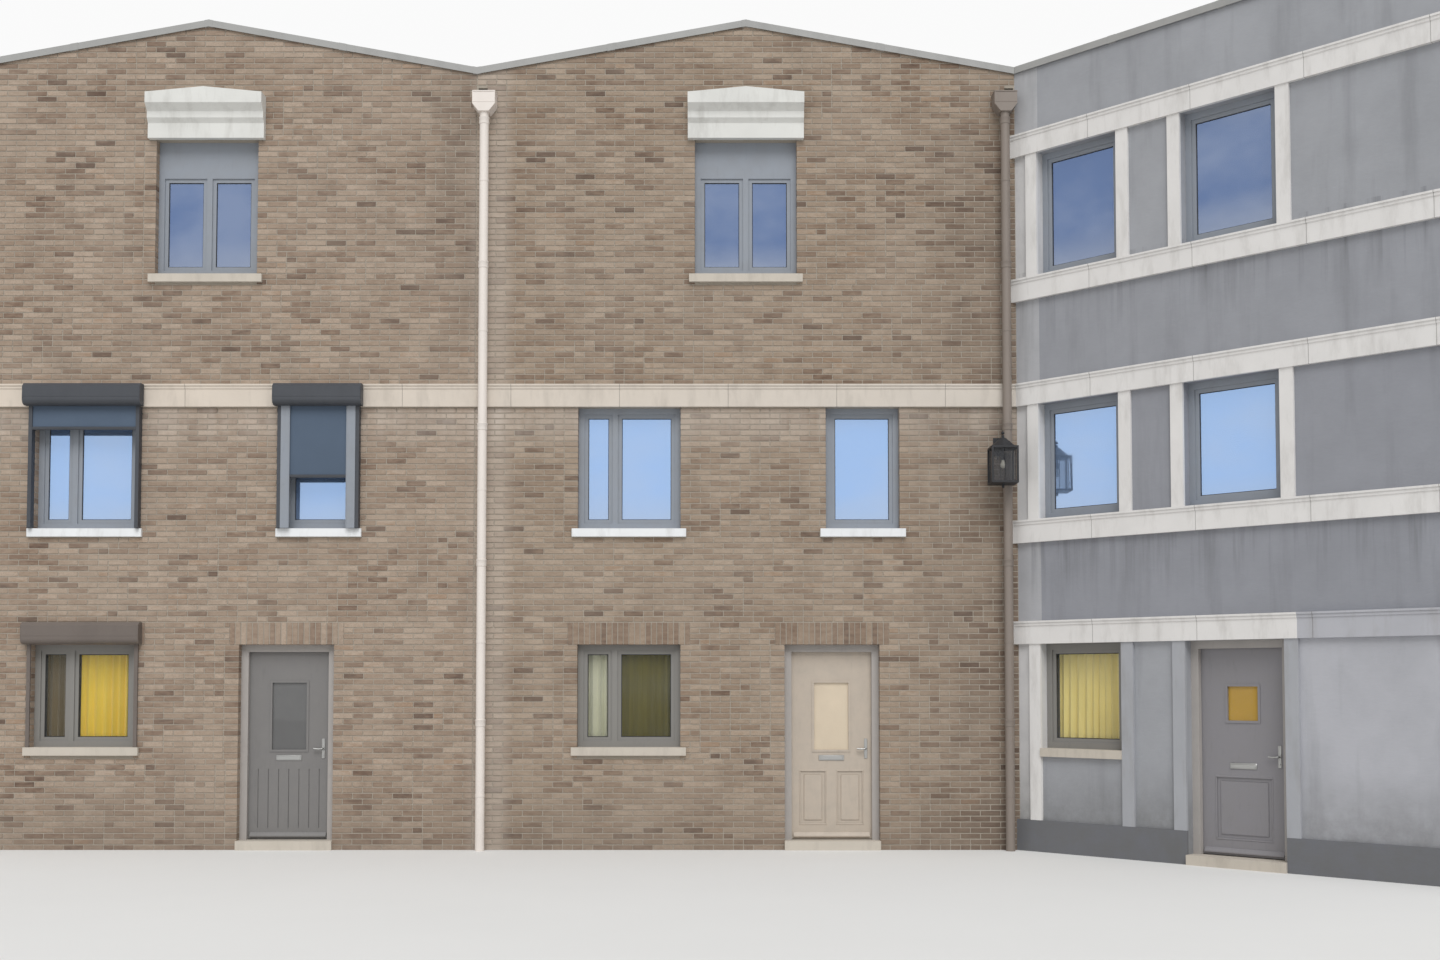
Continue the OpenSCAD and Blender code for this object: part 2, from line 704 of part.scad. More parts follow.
module window_hood() {
    w = hood_w / 2;
    intersection() {
        profile([[-w, 0], [w, 0], [w, hood_h], [0, hood_h + hood_crown], [-w, hood_h]], -hood_out, 0);
        translate([-w, 0, 0]) rotate([90, 0, 90]) linear_extrude(hood_w)
            polygon([[0, 0], [-hood_out * 0.4, 0], [-hood_out * 0.4, hood_h * 0.35],
                [-hood_out * 0.6, hood_h * 0.45], [-hood_out * 0.6, hood_h * 0.6],
                [-hood_out, hood_h * 0.75], [-hood_out, hood_h + hood_crown],
                [0, hood_h + hood_crown]]);
    }
}
module window_hoods() {
    color(stone_c) for (i = [1, 2]) on_front(i) translate([0, 0, top_head_z]) window_hood();
}

module window_sills() {
    color(stone_c) {
        for (i = [1, 2]) {
            on_front(i) for (w = brick_windows) window_sill(w);
            on_rear(i) for (w = rear_windows) window_sill(w);
        }
        on_straight_rear() for (w = rear_column(straight_rear_x)) window_sill(w);
        on_turned_rear() for (x = turned_rear_xs) for (w = rear_column(x)) window_sill(w);
        on_turned() flush_sill(turned_windows[0]);
    }
}

module front_frames_1() { color(frame_c) on_front(1) for (w = brick_windows) window_frame(w); }
module front_frames_2() { color(frame_c) on_front(2) for (w = brick_windows) window_frame(w); }
module front_frames_3() { color(frame_c) on_turned() for (w = turned_windows) window_frame(w); }
module rear_frames() {
    color(frame_c) {
        for (i = [1, 2]) on_rear(i) for (w = rear_windows) window_frame(w);
        on_straight_rear() for (w = rear_column(straight_rear_x)) window_frame(w);
        on_turned_rear() for (x = turned_rear_xs) for (w = rear_column(x)) window_frame(w);
    }
}
module front_glass() {
    color(glass_c) {
        for (i = [1, 2]) on_front(i) for (w = brick_windows) window_glass(w);
        on_turned() for (w = turned_windows) window_glass(w);
    }
}
module rear_glass() {
    color(glass_c) {
        for (i = [1, 2]) on_rear(i) for (w = rear_windows) window_glass(w);
        on_straight_rear() for (w = rear_column(straight_rear_x)) window_glass(w);
        on_turned_rear() for (x = turned_rear_xs) for (w = rear_column(x)) window_glass(w);
    }
}

// Sun-screen cassettes hang over the first house's ground- and first-floor windows
screened = [brick_windows[0], brick_windows[1], brick_windows[2]];
function cassette_y(w) = w[3] == first_head_z ? -course_out - nose_out : 0;
// Section of a cassette: an upright back, a top that sheds rain, and a rounded lower edge
function cassette_section() =
    let(d = cassette_d, h = cassette_h, r = cassette_r)
    concat([[0, 0], [0, h], [-d * 0.7, h], [-d, h * 0.85]],
        [for (a = [180 : 15 : 270]) [r - d + r * cos(a), r + r * sin(a)]]);
module screen_cassettes() {
    color(dark_c) on_front(1) for (w = screened)
        translate([w[0] - w[1] / 2 - cassette_end, cassette_y(w), w[3]])
            rotate([90, 0, 90]) linear_extrude(w[1] + 2 * cassette_end) polygon(cassette_section());
}
module screen_rails() {
    color(dark_c) on_front(1) for (w = screened) for (s = [-1, 1])
        translate([w[0] + s * (w[1] / 2 + rail_w / 2) - rail_w / 2, cassette_y(w) - rail_d, w[2]])
            cube([rail_w, rail_d - cassette_y(w), w[3] - w[2]]);
}

// Screens drawn part of the way down at the first floor, each with its bottom bar
screen_t = 6;
module lowered_screens() {
    color(dark_c) on_front(1) for (k = [1, 2]) {
        w = screened[k];
        drop = k == 1 ? wide_drop : narrow_drop;
        y = cassette_y(w) - rail_d / 2;
        translate([w[0] - w[1] / 2, y - screen_t / 2, w[3] - drop]) cube([w[1], screen_t, drop]);
        translate([w[0] - w[1] / 2, y - rail_d / 2, w[3] - drop - screen_bar])
            cube([w[1], rail_d, screen_bar]);
    }
}

// Wall lantern on the second house, beside the corner
lantern_x = house_w - lantern_off;
// Gap between the lantern's panes and the outer faces of its posts
lantern_inset = 30;
module wall_lantern() {
    s = lantern_w;
    p = post_w;
    arm = 40;
    plate = 100;
    finial = 30;
    color(dark_c) translate([lantern_x, -lantern_y, lantern_z]) {
        translate([-s / 2, -s / 2, 0]) cube([s, s, p]);
        translate([-s / 2, -s / 2, lantern_h - p]) cube([s, s, p]);
        for (x = [-s / 2, s / 2 - p]) for (y = [-s / 2, s / 2 - p])
            translate([x, y, 0]) cube([p, p, lantern_h]);
        translate([0, 0, lantern_h - eps]) cylinder(h = lantern_roof_h, r1 = s / 2, r2 = finial);
        translate([0, 0, lantern_h + lantern_roof_h - 2 * eps]) cylinder(h = finial, r = finial / 2);
        translate([0, 0, -finial]) cylinder(h = finial + eps, r = finial / 2);
        translate([-arm / 2, 0, lantern_h + lantern_roof_h / 2]) cube([arm, lantern_y, arm / 2]);
        translate([-plate / 2, lantern_y - arm / 4, lantern_h - plate / 2])
            cube([plate, arm / 4, 2 * plate]);
    }
}
module lantern_glass() {
    s = lantern_w - 2 * lantern_inset;
    color(glass_c) translate([lantern_x - s / 2, -lantern_y - s / 2, lantern_z + post_w])
        cube([s, s, lantern_h - 2 * post_w]);
}

// Doors: x = 0 on the doorway's centre line, hinges at its left
module at_door(n) {
    if (n == 3) on_turned() translate([far_x, 0, 0]) children();
    else on_front(n) translate([door_off, 0, 0]) children();
}
module thresholds() {
    color(stone_c) for (n = [1 : 3]) at_door(n)
        translate([-doorway_w / 2, -threshold_out, 0])
            cube([doorway_w, wall_t + threshold_out, ground_z]);
}
module door_jambs() {
    color(pale_frame_c) for (n = [1 : 3]) at_door(n) for (m = [0, 1]) mirror([m, 0, 0])
        translate([-doorway_w / 2, set_back, ground_z]) {
            cube([frame_w, door_frame_d, clear_top_z - ground_z]);
            cube([frame_w + stop_w, stop_d, clear_top_z - ground_z]);
        }
}
module door_heads() {
    color(pale_frame_c) for (n = [1 : 3]) at_door(n) {
        translate([-doorway_w / 2, set_back, clear_top_z]) cube([doorway_w, door_frame_d, frame_w]);
        translate([-clear_w / 2 + stop_w, set_back, clear_top_z - stop_w])
            cube([clear_w - 2 * stop_w, stop_d, stop_w + eps]);
    }
}

// The fixed half of each hinge, with the pin that carries the leaf
module door_hinges() {
    color("silver") for (n = [1 : 3]) at_door(n) for (z = hinge_zs) {
        translate([-axis_x, axis_y, z - knuckle_gap - knuckle_end_h])
            cylinder(h = knuckle_h + 2 * (knuckle_gap + knuckle_end_h), r = pin_r);
        for (k = [z - knuckle_gap - knuckle_end_h, z + knuckle_h + knuckle_gap]) {
            translate([-axis_x, axis_y, k]) cylinder(h = knuckle_end_h, r = knuckle_r);
            translate([-axis_x - hinge_plate_w, frame_back_y, k])
                cube([hinge_plate_w, hinge_off, knuckle_end_h]);
        }
    }
}
// The moving half of each hinge, part of the leaf
module leaf_knuckles() {
    for (z = hinge_zs) difference() {
        union() {
            translate([-axis_x, axis_y, z]) cylinder(h = knuckle_h, r = knuckle_r);
            translate([-axis_x, frame_back_y - eps, z])
                cube([hinge_plate_w, hinge_off + eps, knuckle_h]);
        }
        translate([-axis_x, axis_y, z - eps])
            cylinder(h = knuckle_h + 2 * eps, r = pin_r + pin_clear);
        translate([-axis_x - eps, frame_back_y - 2 * eps, z - eps])
            cube([leaf_gap / 2 + eps, 2 * eps, knuckle_h + 2 * eps]);
    }
}
module leaf() {
    translate([-leaf_w / 2, leaf_y, leaf_z]) cube([leaf_w, leaf_t, leaf_h]);
    leaf_knuckles();
}
// A shallow recess in the outer face, from the leaf's middle and foot
recess_d = 10;
module recess(x, z, w, h) {
    translate([x - w / 2, leaf_y - eps, leaf_z + z]) cube([w, recess_d + eps, h]);
}
// The opening for a pane [width, height, foot above the leaf's foot], and the pane
module pane_hole(p) {
    translate([-p[0] / 2, leaf_y - eps, leaf_z + p[2]]) cube([p[0], leaf_t + 2 * eps, p[1]]);
}
module pane(p) {
    color(glass_c) translate([-p[0] / 2, leaf_y + (leaf_t - glass_t) / 2, leaf_z + p[2]])
        cube([p[0], glass_t, p[1]]);
}
// A bead that stands out round a pane on the outer face
bead_w = 24;
bead_d = 8;
module bead(p) {
    difference() {
        translate([-p[0] / 2 - bead_w, leaf_y - bead_d, leaf_z + p[2] - bead_w])
            cube([p[0] + 2 * bead_w, bead_d, p[1] + 2 * bead_w]);
        translate([0, -bead_d, 0]) pane_hole(p);
    }
}
tall_pane = [tall_pane_w, tall_pane_h, tall_pane_z];
small_pane = [small_pane_w, small_pane_h, small_pane_z];
groove_w = 10;
// Foot of the grooves and of the panels above the leaf's foot
groove_z = 120;
panel_z = 160;
module front_door_1() {
    color([0.44, 0.44, 0.43]) at_door(1) {
        difference() {
            leaf();
            pane_hole(tall_pane);
            for (k = [-3 : 3]) recess(k * leaf_w / 8, groove_z, groove_w, tall_pane_z * 0.66);
        }
        bead(tall_pane);
    }
}
module front_door_2() {
    color([0.67, 0.65, 0.62]) at_door(2) {
        difference() {
            leaf();
            pane_hole(tall_pane);
            for (s = [-1, 1]) recess(s * leaf_w / 4.4, panel_z, leaf_w * 0.32, tall_pane_z * 0.6);
        }
        bead(tall_pane);
    }
}
module front_door_3() {
    color([0.49, 0.47, 0.47]) at_door(3) {
        difference() {
            leaf();
            pane_hole(small_pane);
            recess(0, panel_z, leaf_w * 0.66, leaf_h * 0.3);
        }
        bead(small_pane);
    }
}
module door_pane_1() { at_door(1) pane(tall_pane); }
module door_pane_2() { at_door(2) pane(tall_pane); }
module door_pane_3() { at_door(3) pane(small_pane); }

// Foot of the letter plate above the leaf's foot
letter_z = tall_pane_z - 2 * letter_h;
// Lever handles on both faces and a letter plate on the outer one
module furniture() {
    x = leaf_w / 2 - handle_in;
    r = lever_t / 2;
    for (side = [0, 1]) translate([x, side == 0 ? leaf_y : frame_back_y, ground_z + handle_z])
        mirror([0, side, 0]) {
            translate([-plate_w / 2, -plate_t, -plate_h / 2]) cube([plate_w, plate_t, plate_h]);
            rotate([90, 0, 0]) cylinder(h = lever_out - r, r = r);
            translate([-lever_l, -lever_out, -r]) cube([lever_l + r, lever_t, lever_t]);
        }
    translate([-letter_w / 2, leaf_y - plate_t, leaf_z + letter_z])
        cube([letter_w, plate_t, letter_h]);
}
module door_furniture_1() { color("silver") at_door(1) furniture(); }
module door_furniture_2() { color("silver") at_door(2) furniture(); }
module door_furniture_3() { color("silver") at_door(3) furniture(); }

ground_floors();
upper_floors();
party_walls();
front_wall_1_left();
front_wall_1_right();
front_wall_1_upper();
front_wall_2_left();
front_wall_2_right();
front_wall_2_upper();
front_wall_3_left();
front_wall_3_right();
front_wall_3_upper();
rear_wall_1();
rear_wall_2();
rear_wall_3_straight();
rear_wall_3_turned();
gable_roofs();
flat_roof();
gable_copings();
parapet_coping();
roof_gutters();
downpipes();
string_course();
turned_bands();
window_surrounds();
turned_plinth();
window_hoods();
window_sills();
front_frames_1();
front_frames_2();
front_frames_3();
rear_frames();
front_glass();
rear_glass();
screen_cassettes();
screen_rails();
lowered_screens();
wall_lantern();
lantern_glass();
thresholds();
door_jambs();
door_heads();
door_hinges();
front_door_1();
door_furniture_1();
door_pane_1();
front_door_2();
door_furniture_2();
door_pane_2();
front_door_3();
door_furniture_3();
door_pane_3();
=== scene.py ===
"""Looks of a short row of three town houses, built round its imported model."""
import itertools
import json
import math
from collections import namedtuple

import bpy
import numpy as np
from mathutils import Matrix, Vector


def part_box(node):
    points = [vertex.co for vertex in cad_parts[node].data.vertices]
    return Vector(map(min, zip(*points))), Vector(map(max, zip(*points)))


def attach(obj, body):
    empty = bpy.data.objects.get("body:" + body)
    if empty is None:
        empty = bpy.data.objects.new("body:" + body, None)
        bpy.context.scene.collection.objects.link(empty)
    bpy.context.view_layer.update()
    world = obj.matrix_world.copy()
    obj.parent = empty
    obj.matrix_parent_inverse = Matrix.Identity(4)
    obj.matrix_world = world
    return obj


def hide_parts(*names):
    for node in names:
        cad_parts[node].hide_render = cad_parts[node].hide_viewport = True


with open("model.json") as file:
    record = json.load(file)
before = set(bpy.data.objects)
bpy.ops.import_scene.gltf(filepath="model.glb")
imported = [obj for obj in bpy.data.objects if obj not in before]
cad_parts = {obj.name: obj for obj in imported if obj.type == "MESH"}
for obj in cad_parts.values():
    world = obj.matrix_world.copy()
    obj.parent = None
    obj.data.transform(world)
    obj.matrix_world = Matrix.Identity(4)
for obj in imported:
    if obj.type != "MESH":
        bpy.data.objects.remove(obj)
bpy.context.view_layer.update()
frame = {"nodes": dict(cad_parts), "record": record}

NODES = frame["nodes"]
TURN = math.radians(45)
MM = 0.001

# Wall faces. A point on a face is (u, d, z): along it, into the wall, and up.
Face = namedtuple("Face", "origin along inward")
HOUSE_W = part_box("rear_wall_2")[1].x
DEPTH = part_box("rear_wall_2")[1].y
WALL_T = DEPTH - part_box("rear_wall_2")[0].y
ALONG = np.array((math.cos(TURN), -math.sin(TURN)))
INWARD = np.array((math.sin(TURN), math.cos(TURN)))
CORNER = np.array((HOUSE_W, 0.0))
FRONT = Face(np.array((0.0, 0.0)), np.array((1.0, 0.0)), np.array((0.0, 1.0)))
REAR = Face(np.array((0.0, DEPTH)), np.array((1.0, 0.0)), np.array((0.0, -1.0)))
LEFT_END = Face(np.array((-HOUSE_W, 0.0)), np.array((0.0, 1.0)), np.array((1.0, 0.0)))
TURNED = Face(CORNER, ALONG, INWARD)
TURNED_REAR = Face(CORNER + DEPTH * INWARD, ALONG, -INWARD)


def to_face(points, face):
    """Points of the row's frame as (u, d, z) of a face."""
    plan = points[:, :2] - face.origin
    return np.column_stack((plan @ face.along, plan @ face.inward, points[:, 2]))


def from_face(points, face):
    """(u, d, z) of a face as points of the row's frame."""
    points = np.asarray(points, float)
    plan = face.origin + points[:, :1] * face.along + points[:, 1:2] * face.inward
    return np.column_stack((plan, points[:, 2]))


def solids(node, face=FRONT):
    """Lowest and highest (u, d, z) of each separate solid of a CAD node, as seen from a face."""
    mesh = NODES[node].data
    co = np.array([v.co for v in mesh.vertices])
    welded = np.unique(np.round(co, 5), axis=0, return_inverse=True)[1].ravel()
    edges = welded[np.array([e.vertices for e in mesh.edges])]
    label = np.arange(welded.max() + 1)
    while True:
        lowest = np.minimum(label[edges[:, 0]], label[edges[:, 1]])
        before = label.copy()
        np.minimum.at(label, edges[:, 0], lowest)
        np.minimum.at(label, edges[:, 1], lowest)
        if (before == label).all():
            break
    spot = to_face(co, face)
    groups = [spot[label[welded] == k] for k in np.unique(label)]
    return [(g.min(0), g.max(0)) for g in groups]


def solids_in(node, face):
    """The solids of a node that stand square in a wall face."""
    return [(low, high) for low, high in solids(node, face)
            if high[1] - low[1] < 0.12 and -MM < low[1] and high[1] < WALL_T + MM]


TURNED_W = max(high[0] for low, high in solids("front_wall_3_right", TURNED))
RIGHT_END = Face(CORNER + TURNED_W * ALONG, INWARD, -ALONG)
SET_BACK = min(low[1] for low, high in solids("front_frames_1"))
FIRST_HEAD_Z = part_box("string_course")[0].z
STRING_TOP_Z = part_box("string_course")[1].z
GROUND_HEAD_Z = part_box("door_heads")[1].z
WALL_TOP_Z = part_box("front_wall_3_upper")[1].z
GABLE_TOP_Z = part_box("front_wall_1_upper")[1].z
GABLE_SLOPE = (GABLE_TOP_Z - WALL_TOP_Z) / (HOUSE_W / 2)
SILL_T = next(h[2] - l[2] for l, h in solids("window_sills"))
FIRST_SILL_Z = sorted({round(low[2], 3) for low, high in solids("front_frames_1")})[1]
TOP_SILL_Z = max(low[2] for low, high in solids("front_frames_1"))
TOP_HEAD_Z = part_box("window_hoods")[0].z
PLINTH_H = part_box("turned_plinth")[1].z

# Where the turned front's coordinates start, and the outer edge of the strip beside its door
CORNER_U = HOUSE_W * math.cos(TURN)
FRONT_PLACE_Y = HOUSE_W * math.sin(TURN)
DOOR_STRIP_U = max(high[0] for low, high in solids("window_surrounds", TURNED) if low[2] < 0.5)
# Heights that part the storeys' windows and sills
FIRST_FROM_Z = 3.0
SECOND_FROM_Z = 5.5
# How far the corner reaches along the turned front: its pale strip, past which the rooms start
CORNER_W = 0.3
# Where the grey strips of the turned ground floor start
GREY_STRIPS_U = 1.2
# Middle of the lime beside the valley's pipe, and the depth of an end wall's outer face
LIME_X = 0.17
OUTER_SKIN = 20 * MM
# A distance left of every line pattern's first line
LINES_FROM = 20.0


# Materials
class Shader:
    """A procedural material: a Principled shader with the nodes that feed it."""

    def __init__(self, **numbers):
        self.material = bpy.data.materials.new("material")
        self.material.use_nodes = True
        self.tree = self.material.node_tree
        self.bsdf = self.tree.nodes["Principled BSDF"]
        self.where = self.node("ShaderNodeTexCoord").outputs["Object"]
        for key, value in numbers.items():
            socket = key.replace("_", " ").title().replace("Ior", "IOR")
            self.bsdf.inputs[socket].default_value = value

    def node(self, kind, inputs=(), **settings):
        made = self.tree.nodes.new(kind)
        for key, value in settings.items():
            setattr(made, key, value)
        for key, value in dict(inputs).items():
            self.put(made.inputs[key], value)
        return made

    def put(self, socket, value):
        if isinstance(value, bpy.types.NodeSocket):
            self.tree.links.new(value, socket)
        elif isinstance(value, tuple) and socket.type == "RGBA":
            socket.default_value = (*value, 1.0)
        else:
            socket.default_value = value

    def coordinates(self, stretch=(1, 1, 1), turned=False):
        """Object coordinates, stretched, or along the turned front."""
        turn = (0.0, 0.0, TURN if turned else 0.0)
        return self.node("ShaderNodeMapping", {"Vector": self.where, "Scale": stretch,
                                               "Rotation": turn}).outputs["Vector"]

    def noise(self, scale, detail=4.0, rough=0.55, upright=1):
        where = self.coordinates((1, 1, upright))
        return self.node("ShaderNodeTexNoise", {"Vector": where, "Scale": scale, "Detail": detail,
                                                "Roughness": rough}).outputs["Fac"]

    def ramp(self, fac, *stops):
        """A colour ramp through (place, colour) stops."""
        made = self.node("ShaderNodeValToRGB", {"Fac": fac})
        band = made.color_ramp
        while len(band.elements) < len(stops):
            band.elements.new(0.5)
        for element, (place, color) in zip(band.elements, stops):
            element.position = place
            element.color = (*color, 1.0)
        return made.outputs["Color"]

    def levels(self, fac, low, high, to_low=0.0, to_high=1.0):
        """A number range mapped to another, and held at its ends."""
        return self.node("ShaderNodeMapRange", {"Value": fac, "From Min": low, "From Max": high,
                                                "To Min": to_low, "To Max": to_high}).outputs["Result"]

    def mix(self, fac, a, b, blend="MIX"):
        made = self.node("ShaderNodeMix", data_type="RGBA", blend_type=blend)
        self.put(made.inputs["Factor"], fac)
        self.put(made.inputs[6], a)
        self.put(made.inputs[7], b)
        return made.outputs[2]

    def cover(self, color, fac, low, high, share, paint):
        """A colour with paint over part of it: none up to where fac is low, and then up to a share."""
        return self.mix(self.levels(fac, low, high, 0.0, share), color, paint)

    def shaded(self, color, light):
        return self.mix(1.0, color, (light,) * 3, "MULTIPLY")

    def math(self, operation, a, b=0.0):
        made = self.node("ShaderNodeMath", operation=operation)
        self.put(made.inputs[0], a)
        self.put(made.inputs[1], b)
        return made.outputs[0]

    def plus(self, a, b):
        return self.math("ADD", a, b)

    def minus(self, a, b):
        return self.math("SUBTRACT", a, b)

    def times(self, a, *others):
        for b in others:
            a = self.math("MULTIPLY", a, b)
        return a

    def over(self, value, level):
        return self.math("GREATER_THAN", value, level)

    def under(self, value, level):
        return self.math("LESS_THAN", value, level)

    def axis(self, name, vector=None):
        parts = self.node("ShaderNodeSeparateXYZ", {"Vector": vector or self.where})
        return parts.outputs[name]

    def turned_place(self):
        """How far a point lies along the turned front from the corner, and behind that front."""
        place = self.coordinates(turned=True)
        return (self.minus(self.axis("X", place), CORNER_U),
                self.minus(self.axis("Y", place), FRONT_PLACE_Y))

    def between(self, value, low, high):
        return self.times(self.over(value, low), self.under(value, high))

    def by_storey(self, ground, first, second):
        """One of three colours, by the storey that a point lies in."""
        z = self.axis("Z")
        upper = self.mix(self.over(z, SECOND_FROM_Z), first, second)
        return self.mix(self.over(z, FIRST_FROM_Z), ground, upper)

    def lines(self, value, spacing, width):
        """1 on fine lines at even spacing along a coordinate, and 0 between them."""
        share = self.math("FRACT", self.math("DIVIDE", self.plus(value, LINES_FROM), spacing))
        return self.under(share, width / spacing)

    def bump(self, height, distance, strength):
        made = self.node("ShaderNodeBump", {"Height": height, "Distance": distance,
                                            "Strength": strength})
        if self.bsdf.inputs["Normal"].is_linked:
            self.put(made.inputs["Normal"], self.bsdf.inputs["Normal"].links[0].from_socket)
        self.put(self.bsdf.inputs["Normal"], made.outputs["Normal"])

    def finish(self, color, roughness=None):
        self.put(self.bsdf.inputs["Base Color"], color)
        if roughness is not None:
            self.put(self.bsdf.inputs["Roughness"], roughness)
        return self.material


def srgb(red, green, blue, light=1.0):
    """A colour in linear light from its 0 to 255 screen values."""
    def one(value):
        value /= 255
        return light * (value / 12.92 if value <= 0.04045 else ((value + 0.055) / 1.055) ** 2.4)
    return (one(red), one(green), one(blue))


BRICK_TONES = [(0.0, (94, 77, 67)), (0.16, (120, 100, 86)), (0.38, (144, 125, 109)),
               (0.6, (157, 140, 124)), (0.8, (171, 154, 138)), (1.0, (150, 126, 106))]


def brick_finish(light=1.0, warm=1.0, weathered_and_shaded=False):
    """Brick whose tone comes from each brick, with patches and stains. Weathered fronts are painted
    darker at the corner, as painted shade from the turned house, and in a patch left of the valley's
    pipe, with lime beside the pipe and a lime wash under the string course that also paints light
    where the course's shadow falls."""
    s = Shader(specular_ior_level=0.25)
    tone = s.node("ShaderNodeAttribute", attribute_name="tone").outputs["Fac"]
    stops = [(place, srgb(*(light * v for v in (c[0], c[1], c[2] * warm)))) for place, c in BRICK_TONES]
    grain = s.noise(90.0, 3.0, 0.65)
    smear = s.noise(9.0, 2.0, 0.5, 3)
    patch = s.noise(0.9, 3.0, 0.6)
    stain = s.noise(2.3, 4.0, 0.6, 0.6)
    tone = s.plus(tone, s.levels(smear, 0.3, 0.7, -0.12, 0.12))
    color = s.ramp(tone, *stops)
    color = s.cover(color, grain, 0.45, 0.72, 0.4, srgb(112, 95, 82))
    color = s.cover(color, patch, 0.35, 0.7, 0.34, srgb(180, 165, 150))
    color = s.cover(color, stain, 0.5, 0.72, 0.3, srgb(104, 90, 80))
    color = s.mix(s.levels(s.axis("Z"), 0.0, 0.9, 0.35, 0.0), color, srgb(104, 92, 82))
    if weathered_and_shaded:
        x, z = s.axis("X"), s.axis("Z")
        front = s.levels(s.axis("Y"), 0.0, 0.4, 1.0, 0.0)
        # Painted shade: darker towards the corner with the turned house, and less so near the top
        corner_shade_and_patch = s.times(s.levels(x, HOUSE_W - 1.4, HOUSE_W - 0.1, 0.0, 0.4),
                       s.levels(z, 7.3, 8.6, 1.0, 0.2))
        edge = s.plus(x, s.levels(s.noise(1.6, 3.0, 0.6, 0.4), 0.3, 0.7, -0.3, 0.3))
        # A darker patch left of the valley's pipe
        beside = s.times(s.levels(edge, -0.85, -0.15, 0.0, 0.3), s.levels(z, 5.2, 6.8), s.under(x, 0.0))
        corner_shade_and_patch = s.times(s.plus(corner_shade_and_patch, beside), s.levels(stain, 0.3, 0.6, 0.6, 1.1))
        color = s.mix(s.times(corner_shade_and_patch, front), color, srgb(78, 68, 62))
        lime = s.levels(s.math("ABSOLUTE", s.minus(x, LIME_X)), 0.12, 0.27, 0.3, 0.0)
        # Lime wash under the string course, which is also painted light where the course casts its
        # shadow
        lime_and_light_under_course = s.times(s.levels(z, FIRST_HEAD_Z - 0.5, FIRST_HEAD_Z - 0.2, 0.0, 0.3),
                       s.under(z, FIRST_HEAD_Z),
                       s.levels(s.noise(5.0, 4.0, 0.6, 0.15), 0.35, 0.6, 0.4, 1.2))
        color = s.mix(s.times(s.plus(lime, lime_and_light_under_course), front), color, srgb(206, 196, 186))
    s.bump(s.noise(60.0, 2.0, 0.7), 2.5 * MM, 0.8)
    return s.finish(color, s.levels(grain, 0.3, 0.7, 0.82, 0.97))


def mortar_finish(color):
    """Mortar outside, and painted plaster on the faces inside the house."""
    s = Shader(roughness=0.95, specular_ior_level=0.2)
    grain = s.noise(140.0, 4.0, 0.7)
    patch = s.noise(1.3, 4.0, 0.6)
    shade = srgb(*color, light=0.74)
    outside = s.mix(s.levels(grain, 0.35, 0.7), srgb(*color), shade)
    outside = s.cover(outside, patch, 0.4, 0.75, 0.4, shade)
    u, d = s.turned_place()
    straight, turned = [s.between(depth, WALL_T - 2 * MM, DEPTH - WALL_T + 2 * MM)
                        for depth in (s.axis("Y"), d)]
    room = s.math("MAXIMUM", straight, s.times(turned, s.over(u, CORNER_W)))
    room = s.times(room, s.over(s.axis("X"), OUTER_SKIN - HOUSE_W), s.under(u, TURNED_W - OUTER_SKIN))
    color = s.mix(room, outside, srgb(190, 186, 178))
    s.bump(grain, 2 * MM, 0.6)
    return s.finish(color)


def render_finish(ground, first, second, beside=None, strip=None):
    """Painted render, with rain marks and faint trowel strokes. Its ground floor may change colour
    beside the door, and a pale strip may fill the corner beside the windows; at other heights the
    corner takes about a third of the strip's colour, as painted light against the corner's shade."""
    s = Shader(specular_ior_level=0.25)
    z = s.axis("Z")
    u, d = s.turned_place()
    low = s.mix(s.over(u, DOOR_STRIP_U), srgb(*(beside or ground)), srgb(*ground))
    color = s.mix(s.over(z, GROUND_HEAD_Z + 0.1), low, srgb(*first))
    color = s.mix(s.levels(z, FIRST_HEAD_Z, FIRST_HEAD_Z + 0.2, 0.0, 0.4), color, srgb(*second))
    color = s.mix(s.over(z, TOP_SILL_Z - 0.1), color, srgb(*second))
    if strip:
        rows = s.plus(s.between(z, FIRST_SILL_Z, FIRST_HEAD_Z + 0.02),
                      s.between(z, TOP_SILL_Z - 0.1, TOP_HEAD_Z))
        rows = s.plus(rows, s.between(z, PLINTH_H, GROUND_HEAD_Z))
        # In the corner: the pale strip at full strength beside the windows and the door, and elsewhere
        # about a third of it, painted light that offsets the corner's shade
        corner = s.times(s.under(u, CORNER_W), s.under(d, CORNER_W))
        color = s.mix(s.times(s.levels(rows, 0.0, 1.0, 0.35, 1.0), corner), color, srgb(*strip))
    cloud = s.noise(1.4, 5.0, 0.65)
    color = s.cover(color, cloud, 0.35, 0.7, 0.22, srgb(112, 114, 118))
    streak = s.noise(3.5, 5.0, 0.6, 0.12)
    color = s.cover(color, streak, 0.52, 0.75, 0.3, srgb(98, 99, 101))
    for level in (FIRST_SILL_Z, TOP_SILL_Z):
        below = s.times(s.levels(z, level - 0.9, level - 0.3, 0.0, 0.5), s.under(z, level))
        run = s.levels(s.noise(9.0, 4.0, 0.6, 0.05), 0.5, 0.7)
        color = s.mix(s.times(below, run), color, srgb(100, 101, 104))
    # Darker towards the foot of the wall, in patches
    darker_near_ground = s.times(s.levels(z, 0.3, 1.0, 1.0, 0.0), s.noise(5.0, 4.0, 0.7))
    color = s.mix(darker_near_ground, color, srgb(108, 108, 106))
    s.bump(s.noise(220.0, 1.0, 0.6), 1.2 * MM, 0.5)
    s.bump(s.noise(14.0, 2.0, 0.55, 2.2), 4 * MM, 0.4)
    return s.finish(color, s.levels(cloud, 0.3, 0.7, 0.72, 0.9))


